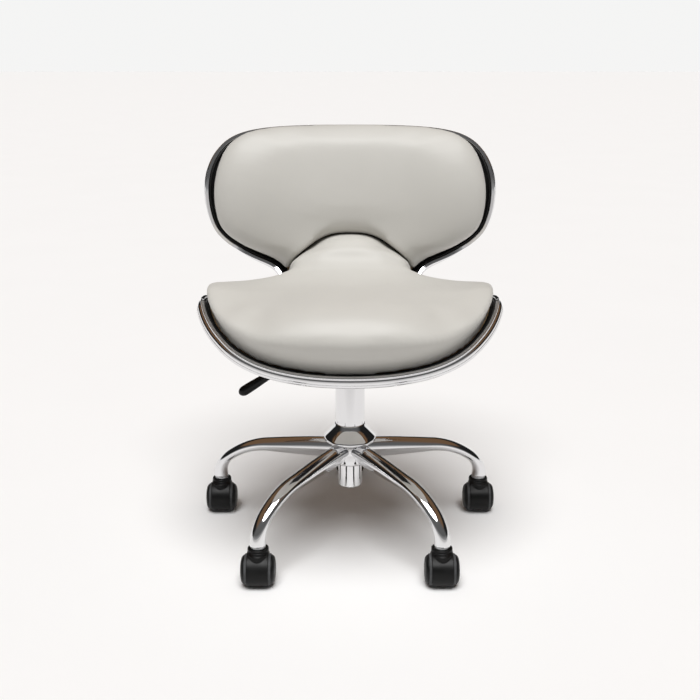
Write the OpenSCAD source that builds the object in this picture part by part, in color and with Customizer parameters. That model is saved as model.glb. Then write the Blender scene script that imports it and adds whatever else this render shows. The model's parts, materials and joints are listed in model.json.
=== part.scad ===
// Rolling stylist stool: a bent-shell seat and back on a gas lift and a five-legged caster base.
// Millimetres, +Z up, the sitter faces -Y, origin on the floor under the swivel axis.

/* [Base] */
// Radius of the circle that the caster stems stand on
caster_circle_r = 246; // [225:1:280]
// Diameter of the leg tube
leg_tube_d = 26; // [22:1:30]
// Radius of the leg's long bend
leg_bend_r = 130; // [110:1:150]
// Radius of the leg's short bend down to the caster
leg_foot_r = 55; // [45:1:65]
// Downward slope of the leg's straight stretch, in degrees
leg_slope = 5; // [2:1:9]
// Wall of the hub barrel round the stand tube
hub_wall = 4; // [3:0.5:7]
// Width of the hub's conical collar round the stand tube
hub_collar_w = 19; // [14:1:24]

/* [Casters] */
// Wheel diameter
wheel_d = 50; // [42:1:60]
// Width over both wheels of a caster
caster_w = 55; // [50:1:62]
// Width of the hood that covers the treads
hood_w = 34.5; // [28:0.5:38]
// How far the axle stands in front of the stem
trail = 8; // [5:1:10]
// Radius of the hood's neck
neck_r = 16.5; // [12:0.5:18]
// Diameter of the stem pin in the leg
stem_d = 11; // [9:1:12]

/* [Gas lift] */
// Outside diameter of the stand tube
stand_d = 50; // [44:1:60]
// Height of the stand tube's top above the floor
stand_top = 278; // [260:1:334]
// Diameter of the gas cylinder
cylinder_d = 28; // [24:1:34]
// Diameter of the piston rod
rod_d = 10; // [8:1:11]
// Lift stroke
stroke = 120; // [80:1:125]

/* [Seat and back] */
// Width of the seat shell
seat_w = 480; // [400:1:540]
// Width of the back shell
back_w = 496; // [420:1:560]
// Width of the shell at its waist
waist_w = 242; // [200:1:290]
// Length along the shell from its front edge to the waist
seat_len = 345; // [310:1:380]
// Length along the shell from the waist to its top edge
back_len = 266; // [220:1:300]
// Distance of the shell's front edge from the swivel axis
seat_front = 222; // [200:1:240]
// Radius of the bend between seat and back
bend_r = 128; // [105:1:145]
// Slope of the seat, in degrees
seat_angle = 6; // [3:1:8]
// Slope of the back at its foot, in degrees
back_angle = 84; // [78:1:88]
// Rise of the seat's sides
seat_rise = 65; // [45:1:75]
// Forward wrap of the back's sides
back_wrap = 33; // [15:1:45]
// Thickness of the shell core
core_t = 10; // [8:1:12]
// Thickness of the seat cushion along its front
seat_pad_t = 88; // [74:1:94]
// Thickness of the seat cushion at its side lobes
lobe_t = 31; // [28:1:38]
// Thickness of the seat cushion's saddle over the waist
saddle_t = 88; // [70:1:92]
// Thickness of the back cushion
back_pad_t = 55; // [44:1:62]
// How far the cushions swell out over the welt
pad_swell = 10; // [4:1:12]
// Rise of the seat cushion's tongue above the waist
tongue_h = 79; // [62:1:92]
// Height of the bright edge trim
trim_h = 21; // [18:1:24]
// Width of the trim's front lip
trim_lip = 5.5; // [4:0.5:7]
// Diameter of the welt between trim and cushion
welt_d = 7; // [5:0.5:8]

/* [Lever] */
// Reach of the lever from the swivel axis
lever_reach = 190; // [165:1:210]
// Downward slope of the lever's outer stretch, in degrees
lever_slope = 33; // [25:1:36]
// Diameter of the lever rod
lever_d = 9; // [7:0.5:10]
// Largest diameter of the grip
grip_d = 17; // [14:0.5:20]
// Length of the grip
grip_len = 78; // [60:1:90]

/* [Hidden] */
LEG_COUNT = 5;

$fn = 64;
run_gap = 0.05;
chrome = [0.78, 0.79, 0.8];
steel = [0.62, 0.63, 0.65];
black = [0.08, 0.08, 0.09];
vinyl = [0.78, 0.77, 0.74];
timber = [0.72, 0.6, 0.44];

// Casters: the legs point at these angles, with two legs to the front and one to the rear
function leg_angle(i) = -54 + 72 * i;
axle_z = wheel_d / 2;
axle_r = 3;
web_half = 6.5;
hood_gap = 0.7;
hood_in = wheel_d / 2 + hood_gap;
hood_out = hood_in + 2.5;
neck_top = wheel_d / 2 + hood_out + 6.5;
flange_t = 3.5;
stem_seat_z = neck_top + 0.3 + flange_t;
stem_low_r = 4;
stem_low_len = 21;
stem_high_len = 22;
hood_boss_r = 9;
hood_low_angle = 37;
hood_back_angle = 25;

// Leg path, in the plane of radius and height, from the caster up to the hub
foot_turn = 50;
foot_centre = [caster_circle_r - leg_foot_r, stem_seat_z];
foot_top = foot_centre + leg_foot_r * [cos(foot_turn), sin(foot_turn)];
bend_centre = foot_top - leg_bend_r * [cos(foot_turn), sin(foot_turn)];
bend_top = bend_centre + leg_bend_r * [cos(90 - leg_slope), sin(90 - leg_slope)];
leg_root_z = bend_top[1] + bend_top[0] * tan(leg_slope);
leg_step = 1;

// Hub and stand tube
stand_r = stand_d / 2;
hub_r = stand_r + hub_wall;
hub_collar_r = stand_r + hub_collar_w;
hub_low = leg_root_z - leg_tube_d;
hub_high = leg_root_z + leg_tube_d / 2 + 3;
collar_t = 5;
collar_cone_h = 25;
bush_len = 80;
bush_rim_t = 3;
stand_wall = 1.5;
stand_foot_r = stand_r - 4.5;
stand_low = hub_low - 44;
floor_t = 4;

// Rod, bearing and cylinder
rod_r = rod_d / 2;
washer_z = stand_low + floor_t;
washer_t = 2;
ball_r = 2;
ball_count = 12;
ball_ring_r = rod_r + 5;
cylinder_r = cylinder_d / 2;
cylinder_wall = 1.5;
cylinder_low = washer_z + 2 * washer_t + 2 * ball_r + 6;
cylinder_foot_t = 6;
cylinder_top = stand_top + 44;
piston_t = 12;
piston_z = cylinder_low + cylinder_foot_t + stroke + 14;
pin_r = 3;
pin_room_z = cylinder_top - 32;

// Seat plate
socket_low = stand_top + 10;
socket_wall = 5;
cheek_low = stand_top + 31;
plate_low = stand_top + 63;
plate_t = 3;
plate_top = plate_low + plate_t;
plate_half = 80;
bolt_pitch = 60;
bolt_r = 4;
bolt_len = 7;
cheek_in = cylinder_r + 3;
cheek_x = 40;
cover_gap = 1.2;
cover_t = 3;
fit_gap = 0.3;
spacer_gap = 0.8;
spacer_t = 10;
seat_z = plate_top + spacer_t + spacer_gap + cover_t + cover_gap + core_t;

// Lever
lever_z = cylinder_top + pin_r + 6;
pivot_x = -cylinder_r - 10;
pivot_r = 3;
lever_bend_r = 25;
lever_straight = 50;
lever_gap = 0.5;
pin_top = lever_z - lever_d / 2 - lever_gap;
lever_out = lever_straight + lever_bend_r * sin(lever_slope);
lever_drop = lever_bend_r * (1 - cos(lever_slope));
lever_tail = (lever_reach - lever_out) / cos(lever_slope);
lever_tail_d = lever_d - 1.6;
lever_lap = 2;

// Shell profile: front roll, flat seat, bend and back, as arcs in the plane x = 0
front_angle = 20;
front_len = 60;
top_angle = 64;
bend_len = bend_r * (back_angle - seat_angle) * PI / 180;
bend_start = seat_len - 0.66 * bend_len;
back_start = bend_start + bend_len;
shell_len = seat_len + back_len;

function clamp01(t) = min(1, max(0, t));
function ease(t) = clamp01(t) * clamp01(t) * (3 - 2 * clamp01(t));
// Point at distance d along an arc of length l that starts in direction a and ends in direction b
function arc_dir(a, b, l, d) = a + (b - a) * d / l;
function arc_yz(a, b, l, d) =
    abs(b - a) < 0.001 ? d * [cos(a), sin(a)] :
    let (k = (b - a) * PI / 180 / l, c = arc_dir(a, b, l, d))
    [(sin(c) - sin(a)) / k, (cos(a) - cos(c)) / k];
roll_end = arc_yz(front_angle, seat_angle, front_len, front_len);
flat_end = roll_end + arc_yz(seat_angle, seat_angle, 1, bend_start - front_len);
bend_end = flat_end + arc_yz(seat_angle, back_angle, bend_len, bend_len);
// Height of the front edge, so that the seat stands at seat_z over the swivel axis
front_z = seat_z - roll_end[1] - (seat_front - roll_end[0]) * tan(seat_angle);
function profile_yz(s) =
    s < front_len ? arc_yz(front_angle, seat_angle, front_len, s) :
    s < bend_start ? roll_end + arc_yz(seat_angle, seat_angle, 1, s - front_len) :
    s < back_start ? flat_end + arc_yz(seat_angle, back_angle, bend_len, s - bend_start) :
    bend_end + arc_yz(back_angle, top_angle, shell_len - back_start, s - back_start);
function profile_dir(s) =
    s < front_len ? arc_dir(front_angle, seat_angle, front_len, s) :
    s < bend_start ? seat_angle :
    s < back_start ? arc_dir(seat_angle, back_angle, bend_len, s - bend_start) :
    arc_dir(back_angle, top_angle, shell_len - back_start, s - back_start);
// How far the sides stand in front of the middle, per unit of squared half width
function side_lift(s) =
    seat_rise * sqrt(clamp01((s + 60) / 200)) * (1 - ease((s - 0.38 * seat_len) / (0.84 * seat_len)))
    + back_wrap * ease((s - seat_len) / (0.7 * back_len));
function base_point(x, s) =
    let (p = profile_yz(s), a = profile_dir(s), d = side_lift(s) * pow(2 * x / seat_w, 2))
    [x, p[0] - seat_front - sin(a) * d, p[1] + front_z + cos(a) * d];
function unit(v) = v / norm(v);
function shell_normal(x, s) = unit(cross(
    base_point(x + 0.5, s) - base_point(x - 0.5, s),
    base_point(x, s + 0.5) - base_point(x, s - 0.5)));
// Point at height h over the shell's upper face
function shell_point(x, s, h) = base_point(x, s) + h * shell_normal(x, s);

// Half outline: control points of a smooth closed curve, as [half width, length along the shell]
hs = seat_w / 2;
hw = waist_w / 2;
hb = back_w / 2;
guide = [
    [0, 0], [0.375 * hs, 2], [0.84 * hs, 0.087 * seat_len], [1.083 * hs, 0.522 * seat_len],
    [0.825 * hs, 0.725 * seat_len], [0.95 * hw, 0.916 * seat_len], [1.025 * hw, seat_len + 0.056 * back_len],
    [0.63 * hw + 0.37 * hb, seat_len + 0.105 * back_len], [0.2 * hw + 0.8 * hb, seat_len + 0.248 * back_len],
    [0.98 * hb, seat_len + 0.357 * back_len], [1.02 * hb, seat_len + 0.583 * back_len],
    [0.944 * hb, seat_len + 0.8 * back_len], [0.782 * hb, seat_len + 0.929 * back_len],
    [0.444 * hb, seat_len + 0.985 * back_len], [0, shell_len]
];
function mirrored(p) = [-p[0], p[1]];
function guide_at(i) =
    i < 0 ? mirrored(guide[-i]) :
    i >= len(guide) ? mirrored(guide[2 * len(guide) - 2 - i]) : guide[i];
function spline(a, b, c, d, t) =
    (pow(1 - t, 3) * a + (3 * pow(t, 3) - 6 * t * t + 4) * b
    + (3 * t + 3 * t * t - 3 * pow(t, 3) + 1) * c + pow(t, 3) * d) / 6;
function outline_at(u) =
    let (i = min(floor(u), len(guide) - 2), t = u - i)
    spline(guide_at(i - 1), guide_at(i), guide_at(i + 1), guide_at(i + 2), t);
function outline_dir(u) = unit(outline_at(u + 0.02) - outline_at(u - 0.02));
// The same curve moved inwards by w
function inset_at(u, w) = outline_at(u) + w * [-outline_dir(u)[1], outline_dir(u)[0]];
SPANS = len(guide) - 1;
STEPS = 4;
half_steps = [for (k = [1:SPANS * STEPS - 1]) k / STEPS];

// Edge trim, as heights over the shell's upper face
trim_wall = 2;
trim_high = trim_lip + 2.5;
trim_low = trim_high - trim_h;

// Cushion outlines: inset from the trim, divided by the seam over the seat cushion's tongue
pad_inset = trim_lip + welt_d + 2.3;
seam_gap = 1;
tongue_half = hw - pad_inset + 6;
function seam_s(x) = seat_len + tongue_h * (1 - pow(min(1, abs(x) / tongue_half), 2.7));
seam_xs = [0, 0.2, 0.4, 0.58, 0.74, 0.88];
pad_edge = [for (u = half_steps) inset_at(u, pad_inset)];
seat_half = concat(
    [for (p = pad_edge) if (p[1] < seat_len - 1) p],
    [for (k = [5:-1:1]) [seam_xs[k] * tongue_half, seam_s(seam_xs[k] * tongue_half) - seam_gap]]);
back_half = concat(
    [for (k = [1:5]) [seam_xs[k] * tongue_half, seam_s(seam_xs[k] * tongue_half) + seam_gap]],
    [for (p = pad_edge) if (p[1] > seat_len + 7) p]);
function closed(half, first, last) = concat(
    [[0, first]], half, [[0, last]], [for (k = [len(half) - 1:-1:0]) mirrored(half[k])]);
seat_loop = closed(seat_half, pad_edge[0][1], seat_len + tongue_h - seam_gap);
back_loop = closed(back_half, seat_len + tongue_h + seam_gap, pad_edge[len(pad_edge) - 1][1]);

// ---- Shared shapes ----

// A slab between two heights over the shell, inside the outline moved inwards by inset
module shell_slab(inset, low, high, columns = 10) {
    rows = [for (u = half_steps) inset_at(u, inset)];
    n = len(rows);
    m = columns + 1;
    function at(i, j, h) = shell_point(rows[i][0] * (2 * j / columns - 1), rows[i][1], h);
    points = concat(
        [for (i = [0:n - 1]) for (j = [0:columns]) at(i, j, high)],
        [for (i = [0:n - 1]) for (j = [0:columns]) at(i, j, low)]);
    off = n * m;
    rim = concat(
        [for (j = [0:columns - 1]) j], [for (i = [0:n - 2]) i * m + columns],
        [for (j = [columns:-1:1]) (n - 1) * m + j], [for (i = [n - 1:-1:1]) i * m]);
    faces = concat(
        [for (i = [0:n - 2]) for (j = [0:columns - 1]) each
            let (a = i * m + j, b = a + 1, c = b + m, d = a + m) [[a, c, b], [a, d, c]]],
        [for (i = [0:n - 2]) for (j = [0:columns - 1]) each
            let (a = off + i * m + j, b = a + 1, c = b + m, d = a + m) [[a, b, c], [a, c, d]]],
        [for (k = [0:len(rim) - 1]) each
            let (a = rim[k], b = rim[(k + 1) % len(rim)]) [[a, b, off + b], [a, off + b, off + a]]]);
    polyhedron(points, faces, convexity = 6);
}

// Thickness of the seat cushion: full along its middle, low at its lobes, a saddle over the waist
front_half = 0.583 * hs;
saddle_half = 0.58 * waist_w;
middle_share = 0.82;
function crowned(full, half, power, x) = lobe_t + (full - lobe_t) * exp(-0.5 * pow(abs(x) / half, power));
function seat_thick(x, s) =
    let (front = 1 - ease((s - 50) / 190), back = ease((s / seat_len - 0.35) / 0.5),
        flat_t = seat_pad_t * (middle_share + (1 - middle_share) * front))
    crowned(flat_t, front_half, 3, x) * (1 - back) + crowned(saddle_t, saddle_half, 4, x) * back;
// Share of the swell at a place on the edge: most at the front and the top of the back, none at the seam
function seat_swell(s) = ease((seat_len - 30 - s) / 80) * (1 + 1.4 * (1 - ease(s / 120)));
function back_swell(s) =
    ease((s - seat_len - 50) / 60) * (0.7 + 0.7 * ease((s - seat_len - 170) / 70));

// A cushion on the shell: a low wall round the loop that swells out and rolls over into a crown
pad_gap = 2;
pad_wall = 9;
wall_rise = [0, 0.12, 0.3, 0.5, 0.7, 0.85, 0.94];
crown_rings = [0.7, 0.58, 0.45, 0.3, 0.15];
floor_rings = [1, 0.8, 0.6, 0.4, 0.2];
module cushion(loop, centre_s, seat, fullness) {
    n = len(loop);
    middle = [0, centre_s];
    function thick(p) = seat ? seat_thick(p[0], p[1]) : back_pad_t;
    function swell(s) = pad_swell * (seat ? seat_swell(s) : back_swell(s));
    function outwards(k) =
        let (d = loop[(k + 1) % n] - loop[(k + n - 1) % n]) unit([d[1], -d[0]]);
    function at(r, k) = middle + r * (loop[k] - middle);
    function ring_point(r, c, k) =
        let (p = at(r, k), t = thick(p), h = (t - pad_wall) * c,
            roll = sin(180 * min(1, h / (1.1 * t))) * pow(r, 4),
            q = p + swell(loop[k][1]) * roll * outwards(k))
        shell_point(q[0], q[1], pad_gap + pad_wall + h);
    radii = concat([for (c = wall_rise) pow(1 - c * c, 1 / fullness)], crown_rings);
    rises = concat(wall_rise, [for (r = crown_rings) sqrt(1 - pow(r, fullness))]);
    tops = len(radii);
    lows = len(floor_rings);
    points = concat(
        [for (j = [0:tops - 1]) for (k = [0:n - 1]) ring_point(radii[j], rises[j], k)],
        [for (r = floor_rings) for (k = [0:n - 1]) let (p = at(r, k)) shell_point(p[0], p[1], pad_gap)],
        [shell_point(0, centre_s, pad_gap + thick(middle)), shell_point(0, centre_s, pad_gap)]);
    function top(j, k) = j * n + k % n;
    function low(j, k) = (tops + j) * n + k % n;
    top_pole = (tops + lows) * n;
    faces = concat(
        [for (k = [0:n - 1]) [top_pole, top(tops - 1, k + 1), top(tops - 1, k)]],
        [for (k = [0:n - 1]) [top_pole + 1, low(lows - 1, k), low(lows - 1, k + 1)]],
        [for (j = [0:tops - 2]) for (k = [0:n - 1]) each
            [[top(j + 1, k), top(j + 1, k + 1), top(j, k + 1)], [top(j + 1, k), top(j, k + 1), top(j, k)]]],
        [for (j = [0:lows - 2]) for (k = [0:n - 1]) each
            [[low(j + 1, k), low(j, k + 1), low(j + 1, k + 1)], [low(j + 1, k), low(j, k), low(j, k + 1)]]],
        [for (k = [0:n - 1]) each
            [[top(0, k), top(0, k + 1), low(0, k + 1)], [top(0, k), low(0, k + 1), low(0, k)]]]);
    polyhedron(points, faces, convexity = 6);
}

// A strip of constant section all round the edge; section points are [outwards, over the shell]
module edge_strip(section) {
    stations = concat([0], half_steps, [SPANS], [for (k = [len(half_steps) - 1:-1:0]) -half_steps[k]]);
    n = len(stations);
    m = len(section);
    function at(q, u) =
        let (p = outline_at(abs(u)), d = outline_dir(abs(u)), v = u < 0 ? -1 : 1, x = v * p[0],
            along = base_point(x + v * d[0], p[1] + d[1]) - base_point(x - v * d[0], p[1] - d[1]),
            up = shell_normal(x, p[1]), out = v * unit(cross(along, up)))
        base_point(x, p[1]) + q[0] * out + q[1] * up;
    points = [for (u = stations) for (q = section) at(q, u)];
    faces = [for (i = [0:n - 1]) for (j = [0:m - 1]) each
        let (a = i * m + j, b = i * m + (j + 1) % m, c = ((i + 1) % n) * m + (j + 1) % m,
            d = ((i + 1) % n) * m + j) [[a, b, c], [a, c, d]]];
    polyhedron(points, faces, convexity = 10);
}

module tube(r, hole, low, high) {
    difference() {
        translate([0, 0, low]) cylinder(r = r, h = high - low);
        translate([0, 0, low - 1]) cylinder(r = hole, h = high - low + 2);
    }
}

module at_leg(i) {
    rotate([0, 0, leg_angle(i)]) children();
}

// The casters all trail the same way, so each is moved to its leg without turning
module at_caster(i) {
    translate(caster_circle_r * [cos(leg_angle(i)), sin(leg_angle(i)), 0]) children();
}

// ---- Base ----

module base_hub() {
    color(chrome) difference() {
        rotate_extrude() polygon([
            [0, hub_low], [hub_r - 2, hub_low], [hub_r, hub_low + 2], [hub_r, hub_high],
            [hub_collar_r - 1, hub_high], [hub_collar_r, hub_high + 1], [hub_collar_r, hub_high + collar_t],
            [stand_r + 2, hub_high + collar_t + collar_cone_h], [0, hub_high + collar_t + collar_cone_h]]);
        tube_outside();
    }
}

// The stand tube's outer form: a straight foot, a seating cone and the straight upper tube
module tube_outside() {
    rotate_extrude() polygon([
        [0, stand_low], [stand_foot_r - 3, stand_low], [stand_foot_r, stand_low + 3], [stand_foot_r, hub_low],
        [stand_r, hub_high], [stand_r, stand_top], [0, stand_top]]);
}

module stand_tube() {
    color(chrome) difference() {
        tube_outside();
        rotate_extrude() polygon([
            [0, washer_z], [stand_foot_r - stand_wall, washer_z], [stand_foot_r - stand_wall, hub_low],
            [stand_r - stand_wall, hub_high], [stand_r - stand_wall, stand_top + 1], [0, stand_top + 1]]);
        translate([0, 0, stand_low - 1]) cylinder(r = rod_r + run_gap, h = floor_t + 2);
    }
}

// The leg is drawn down in two steps towards its foot
module leg(i) {
    lap = 3;
    color(chrome) at_leg(i) difference() {
        union() {
            translate([foot_centre[0], 0, foot_centre[1]]) rotate([90, 0, 0])
                rotate_extrude(angle = foot_turn) translate([leg_foot_r, 0]) circle(d = leg_tube_d - leg_step);
            translate([bend_centre[0], 0, bend_centre[1]]) rotate([90, 0, 0]) rotate([0, 0, foot_turn - lap])
                rotate_extrude(angle = 90 - leg_slope - foot_turn + lap) translate([leg_bend_r, 0])
                    circle(d = leg_tube_d);
            translate([bend_top[0], 0, bend_top[1]]) rotate([0, leg_slope - 90, 0]) translate([0, 0, -lap])
                cylinder(d = leg_tube_d + leg_step, h = lap + (bend_top[0] - 12) / cos(leg_slope));
        }
        translate([0, 0, hub_low - 20]) cylinder(r = hub_r, h = hub_high - hub_low + 40);
        translate([caster_circle_r, 0, stem_seat_z - 1]) cylinder(d = stem_d, h = stem_high_len + 1);
    }
}

// ---- Gas lift ----

module guide_bush() {
    color(black) difference() {
        union() {
            translate([0, 0, stand_top - bush_len]) cylinder(r = stand_r - stand_wall, h = bush_len);
            translate([0, 0, stand_top]) cylinder(r = stand_r, h = bush_rim_t);
        }
        translate([0, 0, stand_top - bush_len - 1])
            cylinder(r = cylinder_r + run_gap, h = bush_len + bush_rim_t + 2);
    }
}

module bearing_washer() {
    color(steel) tube(ball_ring_r + 3, rod_r + 0.5, washer_z, washer_z + washer_t);
}

module bearing_balls() {
    color(steel) for (k = [0:ball_count - 1]) rotate([0, 0, 360 * k / ball_count])
        translate([ball_ring_r, 0, washer_z + washer_t + ball_r]) sphere(r = ball_r, $fn = 24);
}

// The rod carries the upper race as a collar and ends in a snap ring under the stand tube's floor
module piston_rod() {
    race_z = washer_z + washer_t + 2 * ball_r;
    color(steel) union() {
        translate([0, 0, stand_low - 5]) cylinder(r = rod_r, h = piston_z - stand_low + 5);
        translate([0, 0, race_z]) cylinder(r = ball_ring_r + 3, h = washer_t);
    }
}

module rod_clip() {
    color(steel) tube(rod_r + 4, rod_r, stand_low - 2, stand_low - 0.4);
}

module piston() {
    color(black) translate([0, 0, piston_z]) cylinder(r = cylinder_r - cylinder_wall - run_gap, h = piston_t);
}

module gas_cylinder() {
    color(black) difference() {
        rotate_extrude() polygon([
            [0, cylinder_low], [cylinder_r, cylinder_low], [cylinder_r, socket_low],
            [cylinder_r - 1, cylinder_top], [0, cylinder_top]]);
        translate([0, 0, cylinder_low - 1]) cylinder(r = rod_r + run_gap, h = cylinder_foot_t + 2);
        translate([0, 0, cylinder_low + cylinder_foot_t])
            cylinder(r = cylinder_r - cylinder_wall, h = pin_room_z - cylinder_low - cylinder_foot_t);
        translate([0, 0, pin_room_z - 1]) cylinder(r = pin_r + run_gap, h = cylinder_top - pin_room_z + 2);
    }
}

module release_pin() {
    color(steel) translate([0, 0, pin_room_z + 4]) cylinder(r = pin_r, h = pin_top - pin_room_z - 4);
}

// ---- Seat plate and lever ----

module at_bolts() {
    for (x = [-1, 1]) for (y = [-1, 1]) translate([x * bolt_pitch, y * bolt_pitch, 0]) children();
}

module seat_plate() {
    cheek_h = plate_low - cheek_low;
    color(black) difference() {
        union() {
            translate([-plate_half, -plate_half, plate_low]) cube([2 * plate_half, 2 * plate_half, plate_t]);
            for (y = [-cheek_in - plate_t, cheek_in])
                translate([-cheek_x, y, cheek_low]) cube([2 * cheek_x, plate_t, cheek_h]);
            translate([-cheek_x, -cheek_in - plate_t, cheek_low])
                cube([2 * cheek_x, 2 * (cheek_in + plate_t), plate_t]);
            translate([0, 0, socket_low]) cylinder(r = cylinder_r + socket_wall - 2, h = cheek_low - socket_low);
        }
        at_bolts() translate([0, 0, plate_low - 1]) cylinder(r = bolt_r + 0.2, h = plate_t + 2);
        translate([0, 0, socket_low])
            cylinder(r1 = cylinder_r, r2 = cylinder_r - 1, h = cylinder_top - socket_low);
        translate([0, 0, socket_low - 1]) cylinder(r = cylinder_r, h = 1);
        translate([pivot_x, 0, lever_z]) rotate([90, 0, 0])
            cylinder(r = pivot_r, h = 4 * cheek_in, center = true);
    }
}

module plate_bolts() {
    color(steel) at_bolts() {
        translate([0, 0, plate_low - 5.5]) cylinder(r = 6.5, h = 5.5);
        translate([0, 0, plate_low]) cylinder(r = bolt_r, h = plate_t + bolt_len);
    }
}

// The block fills the space between the flat plate and the curved underside of the shell
module spacer_block() {
    steps = 8;
    w = plate_half - 5;
    function under(x, y) =
        let (s = front_len + (y + seat_front - roll_end[0]) / cos(seat_angle))
        shell_point(x, s, -core_t - cover_gap - cover_t - spacer_gap);
    function grid(i) = -w + 2 * w * i / steps;
    m = steps + 1;
    points = concat(
        [for (i = [0:steps]) for (j = [0:steps]) under(grid(j), grid(i))],
        [for (i = [0:steps]) for (j = [0:steps]) let (p = under(grid(j), grid(i))) [p[0], p[1], plate_top]]);
    rim = concat(
        [for (j = [0:steps - 1]) j], [for (i = [0:steps - 1]) i * m + steps],
        [for (j = [steps:-1:1]) steps * m + j], [for (i = [steps:-1:1]) i * m]);
    faces = concat(
        [for (i = [0:steps - 1]) for (j = [0:steps - 1]) each
            let (a = i * m + j, b = a + 1, c = b + m, d = a + m) [[a, c, b], [a, d, c]]],
        [for (i = [0:steps - 1]) for (j = [0:steps - 1]) each
            let (a = m * m + i * m + j, b = a + 1, c = b + m, d = a + m) [[a, b, c], [a, c, d]]],
        [for (k = [0:len(rim) - 1]) each
            let (a = rim[k], b = rim[(k + 1) % len(rim)]) [[a, b, m * m + b], [a, m * m + b, m * m + a]]]);
    color(timber) difference() {
        polyhedron(points, faces, convexity = 4);
        at_bolts() translate([0, 0, plate_top - 1]) cylinder(r = bolt_r + 0.3, h = bolt_len + 1);
    }
}

module pivot_pin() {
    color(steel) translate([pivot_x, 0, lever_z]) rotate([90, 0, 0])
        cylinder(r = pivot_r, h = 2 * (cheek_in + plate_t), center = true);
}

// The lever runs out along -X, bends down and carries the grip; its inner end stands over the release pin
module at_lever_tail() {
    translate([-lever_out, 0, lever_z - lever_drop]) rotate([0, -90 - lever_slope, 0]) children();
}

module lever_rod() {
    color(steel) difference() {
        union() {
            translate([-lever_straight - lever_lap, 0, lever_z]) rotate([0, 90, 0])
                cylinder(d = lever_d, h = lever_straight + lever_lap + 5);
            translate([-lever_straight, 0, lever_z - lever_bend_r]) rotate([90, 0, 0]) rotate([0, 0, 90])
                rotate_extrude(angle = lever_slope + 5) translate([lever_bend_r, 0]) circle(d = lever_d - 0.8);
            at_lever_tail() cylinder(d = lever_tail_d, h = lever_tail - 12);
            translate([pivot_x, 0, lever_z]) rotate([90, 0, 0]) cylinder(r = 7.5, h = 24, center = true);
        }
        translate([pivot_x, 0, lever_z]) rotate([90, 0, 0])
            cylinder(r = pivot_r + run_gap, h = 30, center = true);
    }
}

module lever_grip() {
    end_r = grip_d / 2 - 1;
    neck = grip_d / 2 - 2.5;
    color(black) at_lever_tail() difference() {
        translate([0, 0, lever_tail - grip_len]) rotate_extrude() union() {
            polygon([
                [0, 0], [neck - 1, 0], [neck, 1], [neck, 4], [grip_d / 2, grip_len * 0.55],
                [end_r, grip_len - end_r], [0, grip_len - end_r]]);
            intersection() {
                translate([0, grip_len - end_r]) circle(r = end_r);
                translate([0, grip_len - end_r]) square([end_r, end_r]);
            }
        }
        translate([0, 0, lever_tail - grip_len - 1]) cylinder(d = lever_tail_d, h = grip_len - 11);
    }
}

// ---- Seat and back ----

module shell_core() {
    color(timber) shell_slab(trim_wall + 1, -core_t, 0);
}

module rear_cover() {
    color(vinyl) shell_slab(trim_wall + 10, -core_t - cover_gap - cover_t, -core_t - cover_gap);
}

module seat_pad() {
    color(vinyl) cushion(seat_loop, 0.58 * seat_len, true, 7);
}

module back_pad() {
    color(vinyl) cushion(back_loop, seat_len + 0.54 * back_len, false, 10);
}

// A bright channel that wraps the shell's edge, open towards the shell
module edge_trim() {
    color(chrome) edge_strip([
        [-trim_lip - 3, trim_low], [-1, trim_low], [0, trim_low + 1.5], [-0.8, trim_high - 6], [0, trim_high - 1.5],
        [-1, trim_high], [-trim_lip, trim_high], [-trim_lip, trim_high - 1.8], [-trim_wall, trim_high - 1.8],
        [-trim_wall, trim_low + 1.8], [-trim_lip - 3, trim_low + 1.8]]);
}

module edge_welt() {
    r = welt_d / 2;
    color(black) edge_strip([for (k = [0:7])
        [-trim_lip - 0.4 - r + r * cos(22.5 + 45 * k), 1 + r + r * sin(22.5 + 45 * k)]]);
}

// ---- Casters ----

module caster_stem(i) {
    color(steel) at_caster(i) {
        translate([0, 0, stem_seat_z]) cylinder(d = stem_d, h = stem_high_len);
        translate([0, 0, stem_seat_z - flange_t]) cylinder(r = leg_tube_d / 2 - 1, h = flange_t);
        translate([0, 0, neck_top - stem_low_len]) cylinder(r = stem_low_r, h = stem_low_len + 0.3);
    }
}

module across(x) {
    translate([x, -trail, axle_z]) rotate([0, 90, 0]) children();
}

// The sector under and behind the axle that the hood leaves open, as a wedge across the caster
module hood_opening() {
    far = 3 * hood_out;
    across(-caster_w) linear_extrude(height = 2 * caster_w) polygon([
        [0, 0], far * [sin(hood_low_angle), -cos(hood_low_angle)], far * [1, 0], far * [1, 1],
        far * [-sin(hood_back_angle), cos(hood_back_angle)]]);
}

module caster_hood(i) {
    color(black) at_caster(i) difference() {
        union() {
            difference() {
                union() {
                    across(-hood_w / 2) cylinder(r = hood_out, h = hood_w);
                    translate([0, 0, axle_z + hood_in / 2]) cylinder(r = neck_r, h = neck_top - axle_z - hood_in / 2);
                }
                for (x = [-caster_w, web_half]) across(x) cylinder(r = hood_in, h = caster_w - web_half);
                hood_opening();
            }
            across(-web_half) cylinder(r = hood_boss_r, h = 2 * web_half);
        }
        translate([0, 0, neck_top - stem_low_len - 0.5]) cylinder(r = stem_low_r + run_gap, h = stem_low_len + 1);
        across(-neck_r) cylinder(r = axle_r, h = 2 * neck_r);
    }
}

module caster_axle(i) {
    color(steel) at_caster(i) across(-caster_w / 2 + 6.5) cylinder(r = axle_r, h = caster_w - 13);
}

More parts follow.
